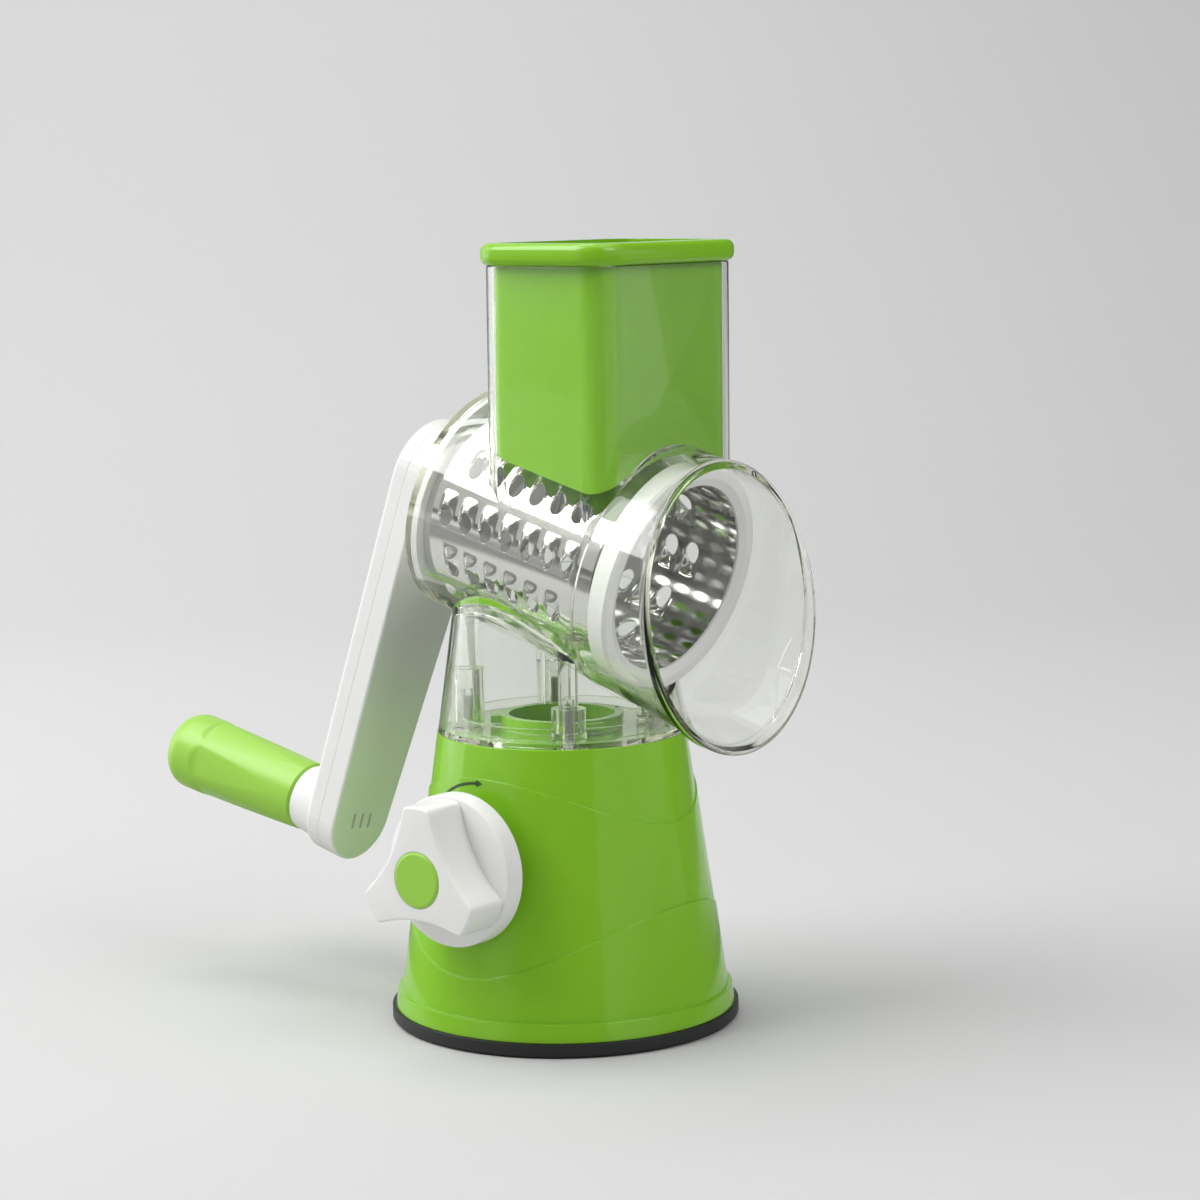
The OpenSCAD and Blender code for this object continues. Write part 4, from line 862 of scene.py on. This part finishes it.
# %% [markdown]
# ## What the gloss sees of the floor
# To the camera the sheet is one even grey. The gloss of the real object shows something else: round its
# foot a strip of pale paper, then the dark of the studio, and on the chute the dark ends at a straight
# upright line. Here the sheet does this itself. For a ray that has been mirrored once it turns dark from
# a short way round the object on, and everywhere near the camera. On the right it also turns dark past
# a line on the floor. That line is where the camera, mirrored in the chute's face, looks past a chosen
# place of the face. Rays that have crossed one, two or three surfaces of clear plastic keep the pale
# sheet, or the housing would be full of black streaks. Those that have crossed more, as in the drum
# behind both walls of the housing, find the dark farther from the object.

# %% Paper of the backdrop
BOUNCE_NEAR, BOUNCE_IN, BOUNCE_FAR = (0.14, 0.16), (0.36, 0.46), (0.85, 1.2)
BOUNCE_BEHIND, BOUNCE_FRONT, BOUNCE_DARK = (-0.3, -0.1), (0.35, 0.6), 0.25
EDGE_ON_FACE, EDGE_HALF, EDGE_SIDE = 23 * MM, 0.008, (0.3, 0.5)
THREE_CROSSED, PAPER_GREY, PAPER_MOTTLE = 3.5, 0.54, 0.02
sheet, tree, end = blank_material("backdrop_grey")
spot = add(tree, "ShaderNodeTexCoord").outputs["Object"]
mottle = add(tree, "ShaderNodeTexNoise", Vector=spot, Scale=1.5).outputs["Fac"]
distance = add(tree, "ShaderNodeVectorMath", {"operation": "LENGTH"}, i0=spot).outputs["Value"]
ray = add(tree, "ShaderNodeLightPath").outputs
open_air = maths(tree, "LESS_THAN", ray["Transmission Depth"], 0.5)
far_in = maths(tree, "GREATER_THAN", ray["Transmission Depth"], THREE_CROSSED)
once = maths(tree, "LESS_THAN", ray["Glossy Depth"], 1.5)
deep = maths(tree, "MULTIPLY", maths(tree, "MAXIMUM", open_air, far_in), once)
foot = maths(tree, "MULTIPLY", past(tree, distance, *BOUNCE_NEAR), open_air)
start = maths(tree, "MAXIMUM", foot, past(tree, distance, *BOUNCE_IN))
middle = maths(tree, "SUBTRACT", start, past(tree, distance, *BOUNCE_FAR))
to_near, to_side = along(tree, spot, near_way), along(tree, spot, side_way)
middle = maths(tree, "MULTIPLY", middle, past(tree, to_near, *BOUNCE_BEHIND))
middle = maths(tree, "MAXIMUM", middle, past(tree, to_near, *BOUNCE_FRONT))
chute_face = -CHUTE_MID - CHUTE_Y / 2
mirrored_camera = Vector((cam_place.x, 2 * chute_face - cam_place.y))
face_edge = Vector((EDGE_ON_FACE, chute_face))
sight = (face_edge - mirrored_camera).normalized()
across = Vector((-sight.y, sight.x, 0))
line = across.xy.dot(face_edge)
beyond = past(tree, along(tree, spot, across), line - EDGE_HALF, line + EDGE_HALF)
beyond = maths(tree, "MULTIPLY", beyond, past(tree, to_side, *EDGE_SIDE))
middle = maths(tree, "MAXIMUM", middle, beyond)
mirrored = maths(tree, "MULTIPLY", maths(tree, "MINIMUM", ray["Glossy Depth"], 1.0), deep)
shade = maths(tree, "MULTIPLY_ADD", maths(tree, "MULTIPLY", mirrored, middle), BOUNCE_DARK - 1, 1.0)
even_grey = maths(tree, "MULTIPLY_ADD", mottle, PAPER_MOTTLE, PAPER_GREY)
light_grey = maths(tree, "MULTIPLY", even_grey, shade)
grey = add(tree, "ShaderNodeCombineColor", i0=light_grey, i1=light_grey, i2=light_grey).outputs[0]
paper = add(tree, "ShaderNodeBsdfPrincipled", Base_Color=grey, Roughness=0.8)
paper.inputs["Specular IOR Level"].default_value = 0.2
tree.links.new(paper.outputs[0], end.inputs["Surface"])
sweep.data.materials.append(sheet)
print("paper with", len(tree.nodes), "nodes")

# %% [markdown]
# ## Lamps
# The large soft key light hangs high on the left, a weaker one stands in front on the right, and another
# is above. A low softbox behind on the left brightens the white arm's edge, and the last one shines past
# the object on the backdrop.

# %% Lamps


def softbox(name, place, aim, wide, high, watts):
    """A rectangular soft light that looks at a point."""
    lamp = bpy.data.lights.new(name, "AREA")
    lamp.shape = "RECTANGLE"
    lamp.size, lamp.size_y = wide, high
    lamp.energy = watts
    holder = bpy.data.objects.new(name, lamp)
    bpy.context.scene.collection.objects.link(holder)
    turn = (aim - place).to_track_quat("-Z", "Y").to_matrix().to_4x4()
    holder.matrix_world = Matrix.Translation(place) @ turn


OBJECT_MID = Vector((0, 0, 0.15))
softbox("key_softbox", studio(-1.2, 0.25, 1.45), OBJECT_MID, 1.2, 1.2, 24)
softbox("front_softbox", studio(1.1, 0.9, 1.3), OBJECT_MID, 0.9, 0.9, 8)
softbox("left_softbox", studio(-1.6, -0.75, 0.6), OBJECT_MID, 1.2, 1.6, 8.5)
softbox("top_softbox", studio(0.0, -0.1, 1.9), OBJECT_MID, 1.6, 1.6, 8)
softbox("back_softbox", studio(-0.7, -0.8, 2.2), studio(-0.65, -2.4, 0.9), 1.4, 0.6, 21)

# %% [markdown]
# ## What the gloss mirrors
# Glossy plastic and polished steel show the room. In the photograph the room is dark behind the camera,
# a pale panel stands on the right, and the left is open and a little brighter. The world's strength
# follows the direction in the same way. The camera itself sees a plain pale air. So do rays that are bent
# through clear plastic, or its edges would turn black. Only what the drum mirrors of the front of the
# room, seen through both walls of the housing, keeps its dark.

# %% World
ROOM_DARK, ROOM_LEFT, ROOM_PANEL, ROOM_THROUGH, ROOM_SEEN = 0.15, 0.6, 0.6, 0.6, 0.68
LEFT_EDGE, PANEL_START, PANEL_END, FRONT_EDGE = (-52, -26), (27, 29), (105.1, 105.5), (50, 70)
world = bpy.data.worlds.new("studio_air")
bpy.context.scene.world = world
world.use_nodes = True
air = world.node_tree
way = add(air, "ShaderNodeTexCoord").outputs["Generated"]
bearing = maths(air, "ARCTAN2", along(air, way, side_way), along(air, way, near_way))


def turned_past(start, end):
    """0 before the start bearing, 1 past the end, both in degrees to the right of the camera."""
    return past(air, bearing, math.radians(start), math.radians(end))


left = maths(air, "SUBTRACT", 1.0, turned_past(*LEFT_EDGE))
room = maths(air, "MULTIPLY_ADD", left, ROOM_LEFT - ROOM_DARK, ROOM_DARK)
before_end = maths(air, "SUBTRACT", 1.0, turned_past(*PANEL_END))
panel = maths(air, "MULTIPLY", turned_past(*PANEL_START), before_end)
room = maths(air, "MULTIPLY_ADD", panel, ROOM_PANEL - ROOM_DARK, room)
path = add(air, "ShaderNodeLightPath").outputs
sideways = add(air, "ShaderNodeMapRange", Value=maths(air, "ABSOLUTE", bearing))
sideways.inputs["From Min"].default_value = math.radians(FRONT_EDGE[0])
sideways.inputs["From Max"].default_value = math.radians(FRONT_EDGE[1])
one_wall = maths(air, "LESS_THAN", path["Transmission Depth"], THREE_CROSSED)
from_one = maths(air, "ABSOLUTE", maths(air, "SUBTRACT", path["Glossy Depth"], 1.0))
one_wall = maths(air, "MAXIMUM", one_wall, maths(air, "GREATER_THAN", from_one, 0.5))
wide = maths(air, "MAXIMUM", sideways.outputs["Result"], one_wall)
bent = maths(air, "MULTIPLY", maths(air, "MULTIPLY", path["Is Transmission Ray"], ROOM_THROUGH), wide)
level = add(air, "ShaderNodeMix", {"data_type": "FLOAT"}, Factor=path["Is Camera Ray"],
            i2=maths(air, "MAXIMUM", room, bent), i3=ROOM_SEEN)
air.links.new(level.outputs[0], air.nodes["Background"].inputs["Strength"])
air.nodes["Background"].inputs["Color"].default_value = (1, 1, 1, 1)
bpy.context.scene.view_settings.view_transform = "Standard"
bpy.context.scene.cycles.max_bounces = 24
bpy.context.scene.cycles.glossy_bounces = 12
bpy.context.scene.cycles.transmission_bounces = 20
bpy.context.scene.cycles.transparent_max_bounces = 16
print("world with", len(air.nodes), "nodes")
